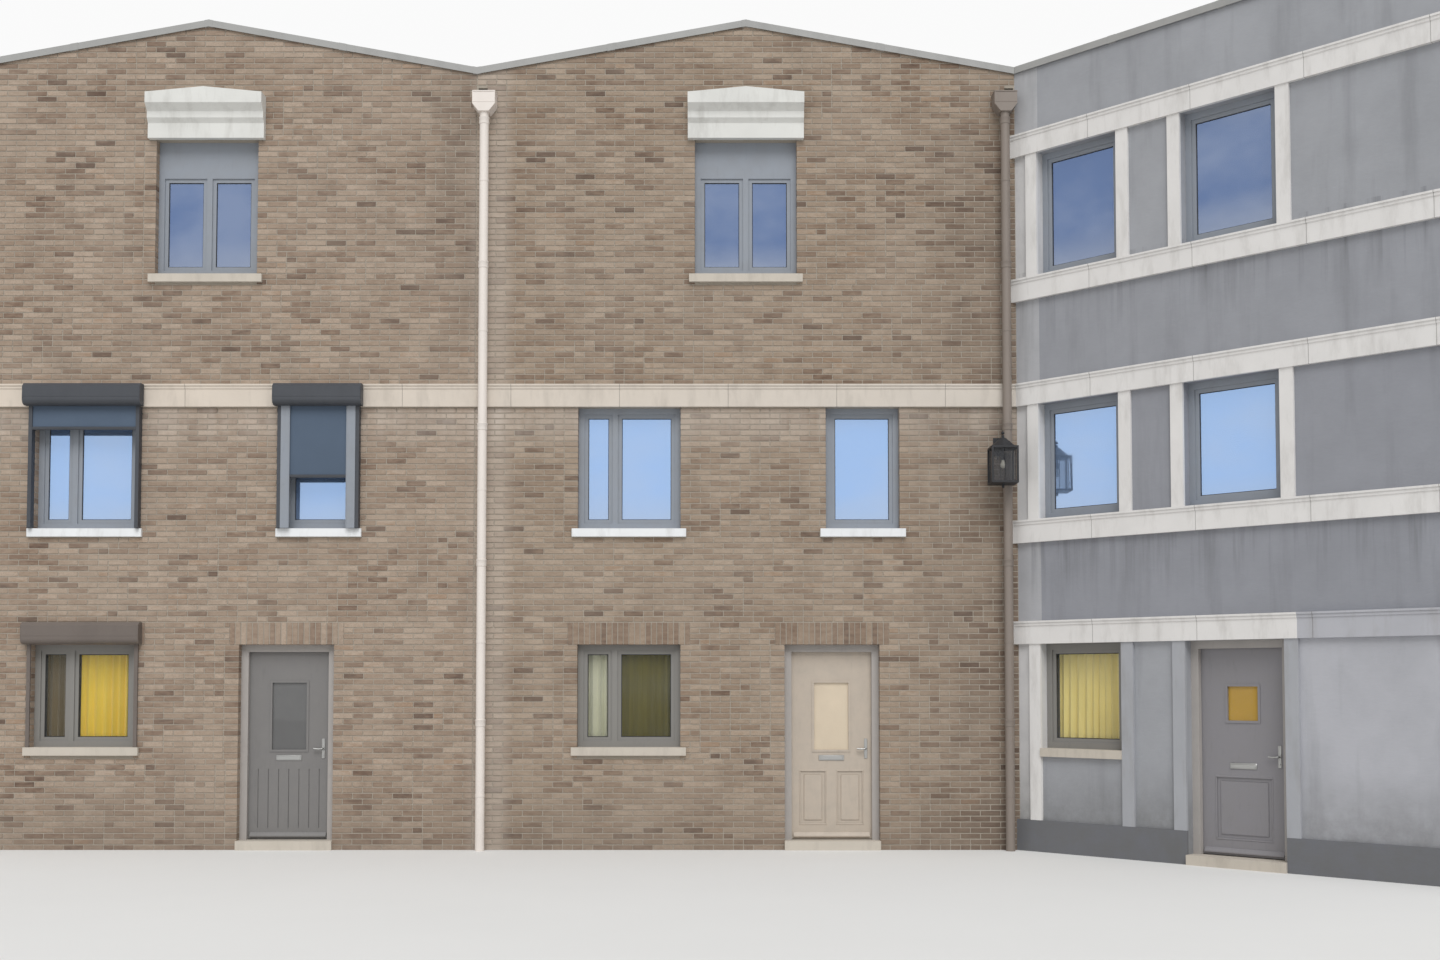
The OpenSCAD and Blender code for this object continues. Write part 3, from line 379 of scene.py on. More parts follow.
def stone_finish(color, spacing=1.2, turned=False, far=None, first=None, beside=None, wall=None):
    """Painted stone in lengths, with fine joints between them, and dirt from the rain. Its colour
    may change towards the corner, which on the string course is a darker painted shade, at the
    first floor, and beside and beyond the turned front's door."""
    s = Shader(specular_ior_level=0.3)
    x = s.axis("X", s.coordinates(turned=turned))
    joint = s.lines(x, spacing, 6 * MM)
    tone = s.noise(2.2, 5.0, 0.6)
    dirt = s.noise(7.0, 5.0, 0.65, 0.25)
    # Towards the corner the colour shifts to the far one, which on the string course is painted shade
    out = s.mix(s.levels(s.axis("X"), -HOUSE_W, HOUSE_W), srgb(*color), srgb(*(far or color)))
    if first:
        out = s.by_storey(out, srgb(*first), out)
    if beside:
        z = s.axis("Z")
        u = s.minus(x, CORNER_U)
        strips = s.times(s.under(z, GROUND_HEAD_Z), s.over(u, GREY_STRIPS_U))
        out = s.mix(strips, out, srgb(*beside))
        beyond = s.times(s.under(z, FIRST_FROM_Z), s.over(u, DOOR_STRIP_U))
        out = s.mix(beyond, out, srgb(*wall))
    out = s.cover(out, tone, 0.35, 0.7, 0.3, s.shaded(out, 0.78))
    out = s.cover(out, dirt, 0.5, 0.78, 0.3, srgb(128, 122, 113))
    out = s.mix(s.times(joint, 0.55), out, srgb(96, 92, 86))
    s.bump(s.minus(1.0, joint), 3 * MM, 0.8)
    s.bump(s.noise(120.0, 4.0, 0.6), MM, 0.5)
    return s.finish(out, s.levels(tone, 0.3, 0.7, 0.6, 0.82))


def paint_finish(color, upper=None):
    """Brushed paint, with dust in places and a faint grain along its length. The upper storeys may
    have a colour of their own."""
    s = Shader(specular_ior_level=0.45)
    dust = s.noise(6.0, 5.0, 0.6)
    above = s.over(s.axis("Z"), FIRST_FROM_Z)
    out = s.mix(above, srgb(*color), srgb(*(upper or color)))
    out = s.cover(out, dust, 0.4, 0.75, 0.2, srgb(136, 134, 130))
    worn = s.levels(s.noise(24.0, 5.0, 0.6, 0.2), 0.56, 0.75, 0.0, 0.25)
    out = s.mix(worn, out, s.shaded(out, 0.7))
    s.bump(s.noise(60.0, 3.0, 0.5, 0.08), 0.6 * MM, 0.5)
    return s.finish(out, s.levels(dust, 0.3, 0.7, 0.42, 0.62))


def metal_finish(color, roughness=0.4, metallic=0.0, stain=0.3, right=None, low=None):
    """Coated metal with stains and dulled patches. It may change right of the second house's middle,
    where the rainwater metal is painted darker as painted shade on the corner's pipe, and at the
    ground floor."""
    s = Shader(metallic=metallic, specular_ior_level=0.5)
    patch = s.noise(3.0, 5.0, 0.62, 0.5)
    # Right of the second house's middle: on the rainwater metal a darker colour, painted shade on the
    # corner's pipe
    out = s.mix(s.over(s.axis("X"), HOUSE_W / 2), srgb(*color), srgb(*(right or color)))
    out = s.mix(s.under(s.axis("Z"), FIRST_FROM_Z), out, srgb(*low) if low else out)
    out = s.cover(out, patch, 0.45, 0.75, stain, s.shaded(out, 0.6))
    s.bump(s.noise(35.0, 3.0, 0.5), 0.5 * MM, 0.4)
    return s.finish(out, s.levels(patch, 0.3, 0.7, roughness, roughness + 0.25))


def roof_finish():
    """Felt roofing in lapped strips, with mineral grains and dried puddles."""
    s = Shader(specular_ior_level=0.2)
    puddle = s.noise(0.6, 4.0, 0.6)
    grain = s.noise(260.0, 2.0, 0.5)
    lap = s.lines(s.axis("X"), 1.0, 14 * MM)
    out = s.mix(s.levels(grain, 0.4, 0.6), srgb(74, 75, 78), srgb(98, 99, 101))
    out = s.cover(out, puddle, 0.48, 0.62, 0.45, srgb(122, 119, 112))
    out = s.mix(s.times(lap, 0.7), out, srgb(48, 48, 50))
    s.bump(grain, MM, 0.5)
    s.bump(s.lines(s.axis("X"), 1.0, 100 * MM), 4 * MM, 0.7)
    return s.finish(out, s.levels(puddle, 0.4, 0.6, 0.9, 0.75))


def glass_finish():
    """Window glass whose colour is a painted reflection: a pale blue sky at the first floor, a deeper
    blue at the second floor and a dull grey at the ground floor, where the glass is clear, with patches
    of painted cloud reflection, and dusty at the foot of its panes."""
    s = Shader(metallic=0.75, ior=1.5)
    z = s.axis("Z")
    # Painted reflections: one sky colour per storey, and a dull one at the ground floor
    painted_reflection = s.by_storey(srgb(120, 122, 110), srgb(174, 206, 250), srgb(112, 134, 176))
    # Pale patches of painted cloud reflection
    cloud = s.noise(0.9, 4.0, 0.55, 1.6)
    painted_reflection = s.cover(painted_reflection, cloud, 0.4, 0.66, 0.2, srgb(206, 214, 226))
    for foot_z in (FIRST_SILL_Z, TOP_SILL_Z):
        dust = s.times(s.levels(z, foot_z, foot_z + 0.4, 0.35, 0.0), s.over(z, foot_z))
        painted_reflection = s.mix(dust, painted_reflection, srgb(206, 210, 214))
    s.bump(s.noise(1.2, 1.0, 0.4), 8 * MM, 0.35)
    s.put(s.bsdf.inputs["Alpha"], s.levels(z, FIRST_FROM_Z, FIRST_FROM_Z + 0.1, 0.1, 0.86))
    return s.finish(painted_reflection, s.levels(s.noise(4.0, 4.0, 0.6), 0.4, 0.8, 0.03, 0.12))


def pane_finish(color, alpha, roughness):
    s = Shader(roughness=roughness, alpha=alpha, metallic=0.1, ior=1.5)
    s.bump(s.noise(55.0, 2.0, 0.5), 1.5 * MM, 0.6)
    return s.finish(s.mix(s.noise(3.0), srgb(*color), srgb(*color, light=0.8)))


def cloth_finish(color, weave=900.0, sheen=0.2):
    s = Shader(roughness=0.9, specular_ior_level=0.15, sheen_weight=sheen)
    threads = s.noise(weave, 1.0, 0.5)
    fade = s.noise(2.5, 3.0, 0.5)
    out = s.mix(s.levels(fade, 0.3, 0.7, 0.0, 0.35), srgb(*color), srgb(*color, light=0.7))
    out = s.cover(out, threads, 0.4, 0.6, 0.3, srgb(*color, light=0.5))
    s.bump(threads, 0.5 * MM, 0.5)
    return s.finish(out)


MATERIALS = {
    # brick_1 and brick_2 are one brick, a little lighter on the first front and a little darker on the
    # second: painted light and shade
    "brick_1": brick_finish(1.03, weathered_and_shaded=True),
    "brick_2": brick_finish(0.99, 0.99, weathered_and_shaded=True),
    "party_brick": brick_finish(1.0, 0.97),
    "mortar": mortar_finish((176, 167, 154)),
    "render": render_finish((180, 181, 187), (149, 151, 158), (162, 164, 169), (164, 166, 171),
                            (214, 213, 213)),
    "pale_stone": stone_finish((219, 219, 215), 30.0),
    # The string course's far colour is painted shade towards the corner
    "course_stone": stone_finish((214, 202, 188), far=(206, 198, 188)),
    "turned_stone": stone_finish((226, 224, 222), turned=True, beside=(168, 170, 175),
                                 wall=(180, 181, 187)),
    "sill_stone": stone_finish((198, 190, 178), 30.0, first=(232, 234, 236)),
    "plinth": render_finish(*[(114, 116, 124)] * 3),
    "frame_paint": paint_finish((130, 128, 124), upper=(140, 146, 155)),
    "door_frame_paint": paint_finish((168, 163, 159)),
    "door_paint_1": paint_finish((120, 118, 117)),
    "door_paint_2": paint_finish((186, 174, 160)),
    "door_paint_3": paint_finish((134, 132, 136)),
    "window_glass": glass_finish(),
    "frosted_glass": pane_finish((112, 112, 112), 0.85, 0.35),
    "cream_glass": pane_finish((226, 210, 186), 0.92, 0.35),
    "amber_glass": pane_finish((196, 156, 60), 0.85, 0.3),
    "lantern_glass": pane_finish((84, 86, 90), 0.4, 0.12),
    "coping_metal": metal_finish((158, 158, 156)),
    # Its darker colour right of the middle is painted shade on the corner's pipe
    "rainwater_metal": metal_finish((228, 220, 213), stain=0.15, right=(132, 122, 114)),
    "screen_metal": metal_finish((64, 67, 73), low=(106, 97, 91)),
    "screen_fabric": cloth_finish((92, 106, 124), 1500.0, 0.0),
    "lantern_metal": metal_finish((30, 31, 35)),
    "ironmongery": metal_finish((176, 176, 174), 0.3, 1.0, 0.15),
    "roofing": roof_finish(),
    "floors": mortar_finish((168, 164, 156)),
    "gasket": metal_finish((44, 45, 47), 0.7),
    "bulb": pane_finish((226, 222, 208), 1.0, 0.3),
    "curtain_gold": cloth_finish((255, 238, 158)),
    "curtain_yellow": cloth_finish((255, 224, 84)),
    "curtain_olive": cloth_finish((112, 104, 44)),
    "curtain_grey": cloth_finish((128, 112, 84)),
    "curtain_pale": cloth_finish((226, 226, 200)),
}
for material_name, material in MATERIALS.items():
    material.name = material_name
CAD_FINISHES = {"brick_1": "mortar", "brick_2": "mortar", "party_brick": "mortar"}
NODE_FINISHES = {"turned_bands": "turned_stone", "window_surrounds": "turned_stone",
                 "string_course": "course_stone", "door_pane_2": "cream_glass",
                 "roof_gutters": "coping_metal"}


def dress_cad_nodes():
    for part in frame["record"]["subparts"]:
        slot = part["material_slot"]
        name = NODE_FINISHES.get(part["node"], CAD_FINISHES.get(slot, slot))
        mesh = NODES[part["node"]].data
        mesh.materials.clear()
        mesh.materials.append(MATERIALS[name])


# Pieces
SHARP_FROM = math.radians(38)


def put_in_scene(name, data):
    made = bpy.data.objects.new(name, data)
    bpy.context.scene.collection.objects.link(made)
    return made


def piece(name, points, faces, finish, face=FRONT, body="houses", smooth=False, tone=None):
    """A piece from points of a wall face, which rides on a body."""
    mesh = bpy.data.meshes.new(name)
    mirrored = np.cross(face.along, face.inward) < 0
    turned_round = [tuple(reversed(f)) for f in faces] if mirrored else faces
    mesh.from_pydata(from_face(points, face).tolist(), [], turned_round)
    mesh.materials.append(MATERIALS[finish])
    if tone is not None:
        mesh.attributes.new("tone", "FLOAT", "POINT").data.foreach_set("value", tone)
    if smooth:
        mesh.polygons.foreach_set("use_smooth", [True] * len(mesh.polygons))
        mesh.set_sharp_from_angle(angle=SHARP_FROM)
    mesh.update()
    made = put_in_scene(name, mesh)
    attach(made, body)
    return made


def bevelled_box():
    """A bevelled box: the side of each axis that a point lies on, where its bevel draws it in,
    and the faces, seen from outside."""
    keys = [(corner, axis) for corner in itertools.product((0, 1), repeat=3) for axis in range(3)]
    place = {key: k for k, key in enumerate(keys)}
    faces = [[place[corner, axis] for axis in range(3)] for corner, last in keys if last == 0]
    for axis in range(3):
        b, c = (axis + 1) % 3, (axis + 2) % 3

        def at(side, sb, sc):
            corner = [0, 0, 0]
            corner[axis], corner[b], corner[c] = side, sb, sc
            return tuple(corner)
        for side in (0, 1):
            faces.append([place[at(side, sb, sc), axis] for sb, sc in ((0, 0), (1, 0), (1, 1), (0, 1))])
        for sb, sc in itertools.product((0, 1), repeat=2):
            low, high = at(0, sb, sc), at(1, sb, sc)
            faces.append([place[low, b], place[high, b], place[high, c], place[low, c]])
    side = np.array([corner for corner, axis in keys], float)
    drawn = np.array([[float(a != axis) for a in range(3)] for corner, axis in keys])
    points = side + 0.2 * drawn * (1 - 2 * side) - 0.5
    seen = []
    for f in faces:
        normal = np.cross(points[f[1]] - points[f[0]], points[f[2]] - points[f[1]])
        seen.append(f if normal @ points[f].mean(0) > 0 else f[::-1])
    return side, drawn, seen


BOX_SIDE, BOX_DRAWN, BOX_FACES = bevelled_box()


def turns(sides, more=0):
    """Even angles round a circle, and some past its start."""
    return np.arange(sides + more) * 2 * math.pi / sides


def band(first, n):
    """Faces between two rings of n points, from the first one's number."""
    return [(first + k, first + (k + 1) % n, first + n + (k + 1) % n, first + n + k) for k in range(n)]


class Shape:
    """Points and faces of one piece, in (u, d, z) of a wall face, gathered from simple solids."""

    def __init__(self):
        self.points = []
        self.faces = []

    def add(self, points, faces):
        first = len(self.points)
        self.points += [tuple(p) for p in points]
        self.faces += [tuple(first + k for k in f) for f in faces]

    def block(self, low, high, arris):
        """A box with bevelled edges."""
        low, high = np.array(low, float), np.array(high, float)
        self.add(low + BOX_SIDE * (high - low) + arris * BOX_DRAWN * (1 - 2 * BOX_SIDE), BOX_FACES)

    def border(self, low, high, width, d0, d1, arris=MM):
        """A flat ring of four bars just inside an outline, between two depths."""
        (u0, z0), (u1, z1) = low, high
        self.block((u0, d0, z0), (u1, d1, z0 + width), arris)
        self.block((u0, d0, z1 - width), (u1, d1, z1), arris)
        self.block((u0, d0, z0 + width), (u0 + width, d1, z1 - width), arris)
        self.block((u1 - width, d0, z0 + width), (u1, d1, z1 - width), arris)

    def rings(self, rings, caps=True):
        """A skin through rings of points, each counter-clockwise about the way to the next."""
        count = len(rings[0])
        faces = [f for k in range(len(rings) - 1) for f in band(k * count, count)]
        if caps:
            faces.append(tuple(range(count))[::-1])
            faces.append(tuple((len(rings) - 1) * count + i for i in range(count)))
        self.add([p for ring in rings for p in ring], faces)

    def tube(self, path, radius, sides=12):
        """A round bar along a path."""
        path = np.array(path, float)
        ways = np.gradient(path, axis=0)
        ways /= np.linalg.norm(ways, axis=1)[:, None]
        side = np.array((0.0, 0.0, 1.0) if abs(ways[0][2]) < 0.9 else (1.0, 0.0, 0.0))
        rings = []
        for point, way in zip(path, ways):
            side = side - way * (side @ way)
            side /= np.linalg.norm(side)
            other = np.cross(way, side)
            rings.append([point + radius * (math.cos(t) * side + math.sin(t) * other)
                          for t in turns(sides)])
        self.rings(rings)

    def screw(self, u, d, z, radius):
        """A screw's head on a surface that faces the street."""
        self.tube([(u, d - out * MM, z) for out in (0, 2, 4)], radius, 10)

    def turned(self, u, d, z, outline, caps=True):
        """A solid turned about an upright axis, through (radius, height over z) points in mm."""
        self.rings([[(u + r * MM * math.cos(t), d + r * MM * math.sin(t), z + up * MM)
                     for t in turns(24)] for r, up in outline], caps)

    def loop(self, centre, radius, thick):
        """A ring of round bar in the upright plane across a wall face."""
        rings = []
        for t in turns(16, 1):
            out = np.array((0.0, math.cos(t), math.sin(t)))
            rings.append([centre + (radius + thick * math.cos(q)) * out + (thick * math.sin(q), 0, 0)
                          for q in turns(8)])
        self.rings(rings, False)

    def prism(self, outline, d0, d1):
        """An outline of (u, z) points, counter-clockwise from the street, between two depths."""
        self.rings([[(u, d1, z) for u, z in outline], [(u, d0, z) for u, z in outline]])

    def make(self, name, finish, face=FRONT, body="houses", slot=None, smooth=False):
        return piece(name, self.points, self.faces, finish, face, body, smooth)


# Brickwork
COURSE = 62.5 * MM
BRICK_H = 50 * MM
STRETCHER = 210 * MM
HEADER = 100 * MM
PERPEND = 10 * MM
SHORTEST_CUT = 45 * MM
PROUD = 6 * MM
ARRIS = 2.5 * MM
INTO_OPENING = 3 * MM
STRETCHER_SHARE = 0.62
STAGGER = 3.5 * PERPEND
UNEVEN = 0.8 * MM, 0.7 * MM, 0.6 * MM    # how far out, where it starts, and how high a brick is
TONE_MEAN = 0.5
TONE_SPREAD = 0.19
SOLDIER_COURSES = 4
SOLDIER_BEARING = 105 * MM
SOLDIER_PITCH = 62 * MM
FRONT_SOLDIER_TONES = (0.42, 0.6)
FIRST_DOOR_TONE = 0.9
REAR_SOLDIER_TONE = 0.6
OUTLET_H = 90 * MM

Hole = namedtuple("Hole", "u0 u1 z0 z1 jambs")
Brick = namedtuple("Brick", "u0 u1 z0 z1 back tone")
# What a wall's end brick measures in even and odd courses, and its tone in each
Quoin = namedtuple("Quoin", "sizes tones")


def spans(u0, u1, holes, z0, z1):
    """What is left of a course between u0 and u1: start, end, and whether each end is a jamb."""
    left = [(u0, u1, False, False)]
    for h in holes:
        if h.z1 < z0 + MM or h.z0 > z1 - MM:
            continue
        cut = []
        for a, b, jamb_a, jamb_b in left:
            if h.u0 >= b or h.u1 <= a:
                cut.append((a, b, jamb_a, jamb_b))
                continue
            if h.u0 > a:
                cut.append((a, h.u0, jamb_a, h.jambs))
            if h.u1 < b:
                cut.append((h.u1, b, h.jambs, jamb_b))
        left = cut
    return [s for s in left if s[1] - s[0] > SHORTEST_CUT]


def lay(start, end, first, below, rng):
    """Bricks of a span as (start, end), whose upright joints miss those of the course below."""
    laid = []
    while end - start > STRETCHER + 2 * PERPEND:
        sizes = [STRETCHER, HEADER] if rng.random() < STRETCHER_SHARE else [HEADER, STRETCHER]
        if not laid:
            sizes.sort(key=lambda size: size != first)
        sizes = [s for s in sizes if end - start - s - PERPEND >= SHORTEST_CUT]
        clear = [s for s in sizes if not len(below)
                 or np.abs(below - (start + s + PERPEND / 2)).min() > STAGGER]
        size = (clear if laid and clear else sizes)[0]
        laid.append((start, start + size))
        start += size + PERPEND
    return laid + [(start, end)]


def tones(rng, count, share=1.0):
    return np.clip(share * rng.normal(TONE_MEAN, TONE_SPREAD, count), 0.0, 1.0)


def soldiers(hole, rng, share):
    """A row of upright bricks over an opening."""
    u0, u1 = hole.u0 - SOLDIER_BEARING, hole.u1 + SOLDIER_BEARING
    count = round((u1 - u0) / SOLDIER_PITCH)
    pitch = (u1 - u0) / count
    height = SOLDIER_COURSES * COURSE - (COURSE - BRICK_H)
    return [Brick(u0 + k * pitch + PERPEND / 2, u0 + (k + 1) * pitch - PERPEND / 2,
                  hole.z1 - INTO_OPENING, hole.z1 + height, SET_BACK, tone)
            for k, tone in enumerate(tones(rng, count, share))]


def lay_wall(u0, u1, top, holes, lintels, rng, start=None, end=None):
    """Bricks of a wall from u0 to u1, up to a level. Lintels are (opening, share of the tone), and
    the bricks at a start or end with a quoin take their size and tone from it."""
    bricks = [b for h, share in lintels for b in soldiers(h, rng, share)]
    over = [Hole(h.u0 - SOLDIER_BEARING, h.u1 + SOLDIER_BEARING, h.z1,
                 h.z1 + SOLDIER_COURSES * COURSE - MM, False) for h, share in lintels]
    below = np.array([])
    for k in range(int(top / COURSE) + 1):
        z0 = k * COURSE
        z1 = z0 + BRICK_H
        joints = []
        for a, b, jamb_a, jamb_b in spans(u0, u1, holes + over, z0, z1):
            first = (start.sizes if start and a == u0 else (HEADER, STRETCHER))[k % 2]
            last = [(b - end.sizes[k % 2], b)] if end and b == u1 else []
            laid = lay(a, last[0][0] - PERPEND if last else b, first, below, rng) + last
            for n, (left, right) in enumerate(laid):
                at_start, at_end = n == 0, n == len(laid) - 1
                opens = (jamb_a and at_start) or (jamb_b and at_end)
                joints.append(right + PERPEND / 2)
                tone = tones(rng, 1)[0]
                if start and a == u0 and at_start:
                    tone = start.tones[k]
                if last and at_end:
                    tone = end.tones[k]
                bricks.append(Brick(left - INTO_OPENING * (jamb_a and at_start),
                                    right + INTO_OPENING * (jamb_b and at_end),
                                    z0, z1, SET_BACK - MM if opens else MM, tone))
        below = np.array(joints)
    return bricks


def brickwork(name, bricks, face, finish, rng, under=None):
    """One mesh of bricks: each a bevelled face, its edges and its sides. Those that cross the line
    z = under(u) are cut along it."""
    whole = [b for b in bricks if under is None or b.z1 < min(under(b.u0), under(b.u1))]
    cut = [b for b in bricks if under is not None and b.z1 >= min(under(b.u0), under(b.u1))]
    rows = np.array(whole)
    u0, u1, z0, z1, back, tone = rows.T
    count = len(rows)
    out, along, up = [rng.normal(0.0, size, count) for size in UNEVEN]
    proud, u0, z1 = PROUD + out, u0 + along, z1 + up
    rings = []
    for inset, depth in ((0.0, back), (0.0, ARRIS - proud), (ARRIS, -proud)):
        a, b, low, high = u0 + inset, u1 - inset, z0 + inset, z1 - inset
        rings.append(np.stack([np.column_stack((u, depth, z))
                               for u, z in ((a, low), (b, low), (b, high), (a, high))], axis=1))
    points = np.concatenate(rings, axis=1).reshape(-1, 3)
    pattern = [(8, 9, 10, 11)] + band(0, 4) + band(4, 4)
    faces = (np.array(pattern)[None] + 12 * np.arange(count)[:, None, None]).reshape(-1, 4)
    points, faces = points.tolist(), [tuple(f) for f in faces.tolist()]
    tone = np.repeat(tone, 12).tolist()
    for b in cut:
        outline = clip_under([(b.u0, b.z0), (b.u1, b.z0), (b.u1, b.z1), (b.u0, b.z1)], under)
        n = len(outline)
        if n < 3:
            continue
        first = len(points)
        points += [(u, d, z) for d in (b.back, -PROUD) for u, z in outline]
        faces += [tuple(range(first + n, first + 2 * n))] + band(first, n)
        tone += [b.tone] * 2 * n
    return piece(name, points, faces, finish, face, tone=tone)


def clip_under(outline, under):
    """The part of a convex outline below a line z = under(u)."""
    kept = []
    for (u, z), (v, w) in zip(outline, outline[1:] + outline[:1]):
        here, there = under(u) - z, under(v) - w
        if here >= 0:
            kept.append((u, z))
        if here * there < 0:
            share = here / (here - there)
            kept.append((u + share * (v - u), z + share * (w - z)))
    return kept


def openings(frames_node, face, u0, u1):
    """Brick openings of the windows of a node that lie between u0 and u1."""
    return [Hole(low[0], high[0], low[2] - SILL_T, high[2], True)
            for low, high in solids(frames_node, face) if u0 < low[0] and high[0] < u1]


def doorways():
    """Brick openings of the two doorways in the brick fronts."""
    return [Hole(low[0], high[0], 0.0, GROUND_HEAD_Z, True)
            for low, high in solids("thresholds") if high[0] < HOUSE_W]


def outlets():
    """Holes round the gutters' tongues where they pass through the front."""
    floor_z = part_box("roof_gutters")[0].z
    tips = sorted({round(v.co.x, 4) for v in NODES["roof_gutters"].data.vertices if v.co.y < -MM})
    return [Hole(tips[k], tips[k + 1], floor_z, floor_z + OUTLET_H, False) for k in (0, 2)]


def gable_line(middle):
    """The edge under a gable's coping, round its middle."""
    return lambda u: GABLE_TOP_Z - GABLE_SLOPE * abs(u - middle) - 4 * MM


def brick_walls():
    rng = np.random.default_rng(7)
    courses = int(GABLE_TOP_Z / COURSE) + 2
    corner_tones = tones(rng, courses), tones(rng, courses)
    string_gap = Hole(-2 * HOUSE_W, 2 * HOUSE_W, FIRST_HEAD_Z, STRING_TOP_Z - MM, False)
    doors = doorways()
    for k, (u0, u1) in enumerate([(-HOUSE_W, 0.0), (0.0, HOUSE_W)]):
        under = gable_line((u0 + u1) / 2)
        ends = u0 - PROUD if k == 0 else u0 + PERPEND / 2, u1 - PERPEND / 2
        quoins = [Quoin((HEADER, STRETCHER), t) if k == 0 else None for t in corner_tones]
        windows = openings(f"front_frames_{k + 1}", FRONT, u0, u1)
        low = [(h, FIRST_DOOR_TONE if k == 0 and h in doors else FRONT_SOLDIER_TONES[k])
               for h in windows + doors if h.z1 < GROUND_HEAD_Z + MM and u0 < h.u0 < u1]
        bricks = lay_wall(*ends, GABLE_TOP_Z, windows + doors + outlets() + [string_gap], low, rng,
                          quoins[0])
        brickwork(f"brickwork_front_{k + 1}", bricks, FRONT, f"brick_{k + 1}", rng, under)
        behind = openings("rear_frames", REAR, u0, u1)
        low = [(h, REAR_SOLDIER_TONE) for h in behind]
        bricks = lay_wall(*ends, GABLE_TOP_Z, behind, low, rng, quoins[1])
        brickwork(f"brickwork_rear_{k + 1}", bricks, REAR, f"brick_{k + 1}", rng, under)
    above = Hole(WALL_T, DEPTH - WALL_T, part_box("gable_roofs")[0].z, 2 * GABLE_TOP_Z, False)
    quoins = [Quoin((STRETCHER, HEADER), t) for t in corner_tones]
    bricks = lay_wall(0.0, DEPTH, WALL_TOP_Z - COURSE, [above], [], rng, *quoins)
    brickwork("brickwork_left_end", bricks, LEFT_END, "party_brick", rng)
    bricks = lay_wall(PERPEND, DEPTH - PERPEND, WALL_TOP_Z - COURSE, [], [], rng)
    brickwork("brickwork_right_end", bricks, RIGHT_END, "party_brick", rng)


# Windows
GASKET_W = 7 * MM
GASKET_OUT = 6 * MM
ROD_D = 242 * MM
ROD_R = 9 * MM
ROD_DROP = 70 * MM
SOCKET_L = 14 * MM
SOCKET_R = 19 * MM
RING_R = 20 * MM
CURTAIN_D = 201 * MM
SCREEN_BAR = 35 * MM
SCREEN_TUCK = 6 * MM
GUIDE_W = 100 * MM


def glazing_gaskets():
    """Rubber seals round every pane, on both of its faces."""
    for name, face, node in (("front", FRONT, "front_glass"), ("turned_front", TURNED, "front_glass"),
                             ("rear", REAR, "rear_glass"), ("turned_rear", TURNED_REAR, "rear_glass")):
        shape = Shape()
        for low, high in solids_in(node, face):
            for d0, d1 in ((low[1] - GASKET_OUT, low[1] + MM), (high[1] - MM, high[1] + GASKET_OUT)):
                shape.border(low[[0, 2]], high[[0, 2]], GASKET_W, d0, d1)
        shape.make(f"glazing_gaskets_{name}", "gasket", face, slot="screen_metal")


def quads(rows, columns):
    """Faces of a grid of points."""
    return [(k, k + 1, k + columns + 1, k + columns)
            for r in range(rows - 1) for k in range(r * columns, (r + 1) * columns - 1)]


def curtain_rod(u0, u1, z):
    """A rod between the reveals of a window, with a socket at each end."""
    rod = Shape()
    rod.tube([(u, ROD_D, z) for u in np.linspace(u0, u1, 9)], ROD_R)
    for a, b in ((u0, u0 + SOCKET_L), (u1 - SOCKET_L, u1)):
        rod.tube([(u, ROD_D, z) for u in np.linspace(a, b, 3)], SOCKET_R, 20)
    return rod


def curtain(name, finish, face, rod_z, foot_z, u0, u1, folds, seed):
    """A gathered curtain that hangs by rings from its rod."""
    rng = np.random.default_rng(seed)
    top = rod_z - 12 * MM
    down = np.linspace(0.0, 1.0, 30)[:, None]
    across = np.linspace(0.0, 1.0, folds * 12 + 1)[None]
    lean = rng.normal(0.0, 0.5, 3)
    sway = 0.5 * np.sin(2.2 * down + lean[0]) * down * np.sin(5 * across + lean[1])
    phase = 2 * math.pi * folds * (across + 0.02 * np.sin(9 * across + lean[2])) + sway
    deep = (17 + 9 * down + 4 * np.sin(4 * phase / folds)) * MM
    d = CURTAIN_D + deep * np.sin(phase) + 3 * MM * np.sin(2 * phase) * down
    u = u0 + (u1 - u0) * across + 5 * MM * np.sin(2 * phase) + 0 * down
    z = top - (top - foot_z) * down + 2 * MM * np.sin(phase) * down
    grid = np.stack(np.broadcast_arrays(u, d, z), axis=-1)
    faces = [f[:1] + f[:0:-1] for f in quads(*grid.shape[:2])]
    made = piece(name, grid.reshape(-1, 3), faces, finish, face, smooth=True)


def curtains():
    """Curtains inside the ground-floor windows that face the street."""
    hung = [(FRONT, "front_frames_1", "left", 31,
             [("curtain_grey", 0.03, 0.36, 5), ("curtain_yellow", 0.38, 0.97, 8)]),
            (FRONT, "front_frames_2", "middle", 32,
             [("curtain_pale", 0.03, 0.36, 5), ("curtain_olive", 0.38, 0.97, 8)]),
            (TURNED, "front_frames_3", "right", 31, [("curtain_gold", 0.03, 0.97, 11)])]
    for face, node, side, seed, panels in hung:
        low, high = min(solids_in(node, face), key=lambda s: s[0][2])
        width = high[0] - low[0]
        rod_z = high[2] - ROD_DROP
        shape = curtain_rod(low[0], high[0], rod_z)
        for _, a, b, folds in panels:
            for n in range(folds):
                u = low[0] + width * (a + (b - a) * (n + 0.25) / folds)
                shape.loop(np.array((u, ROD_D, rod_z - 6 * MM)), RING_R, 2 * MM)
        rod = shape.make(f"curtain_rod_{side}", "ironmongery", face, smooth=True)
        for n, (finish, a, b, folds) in enumerate(panels):
            curtain(f"curtain_{side}_{n + 1}", finish, face, rod_z, low[2] + 15 * MM,
                    low[0] + width * a, low[0] + width * b, folds, seed + 7 * n)


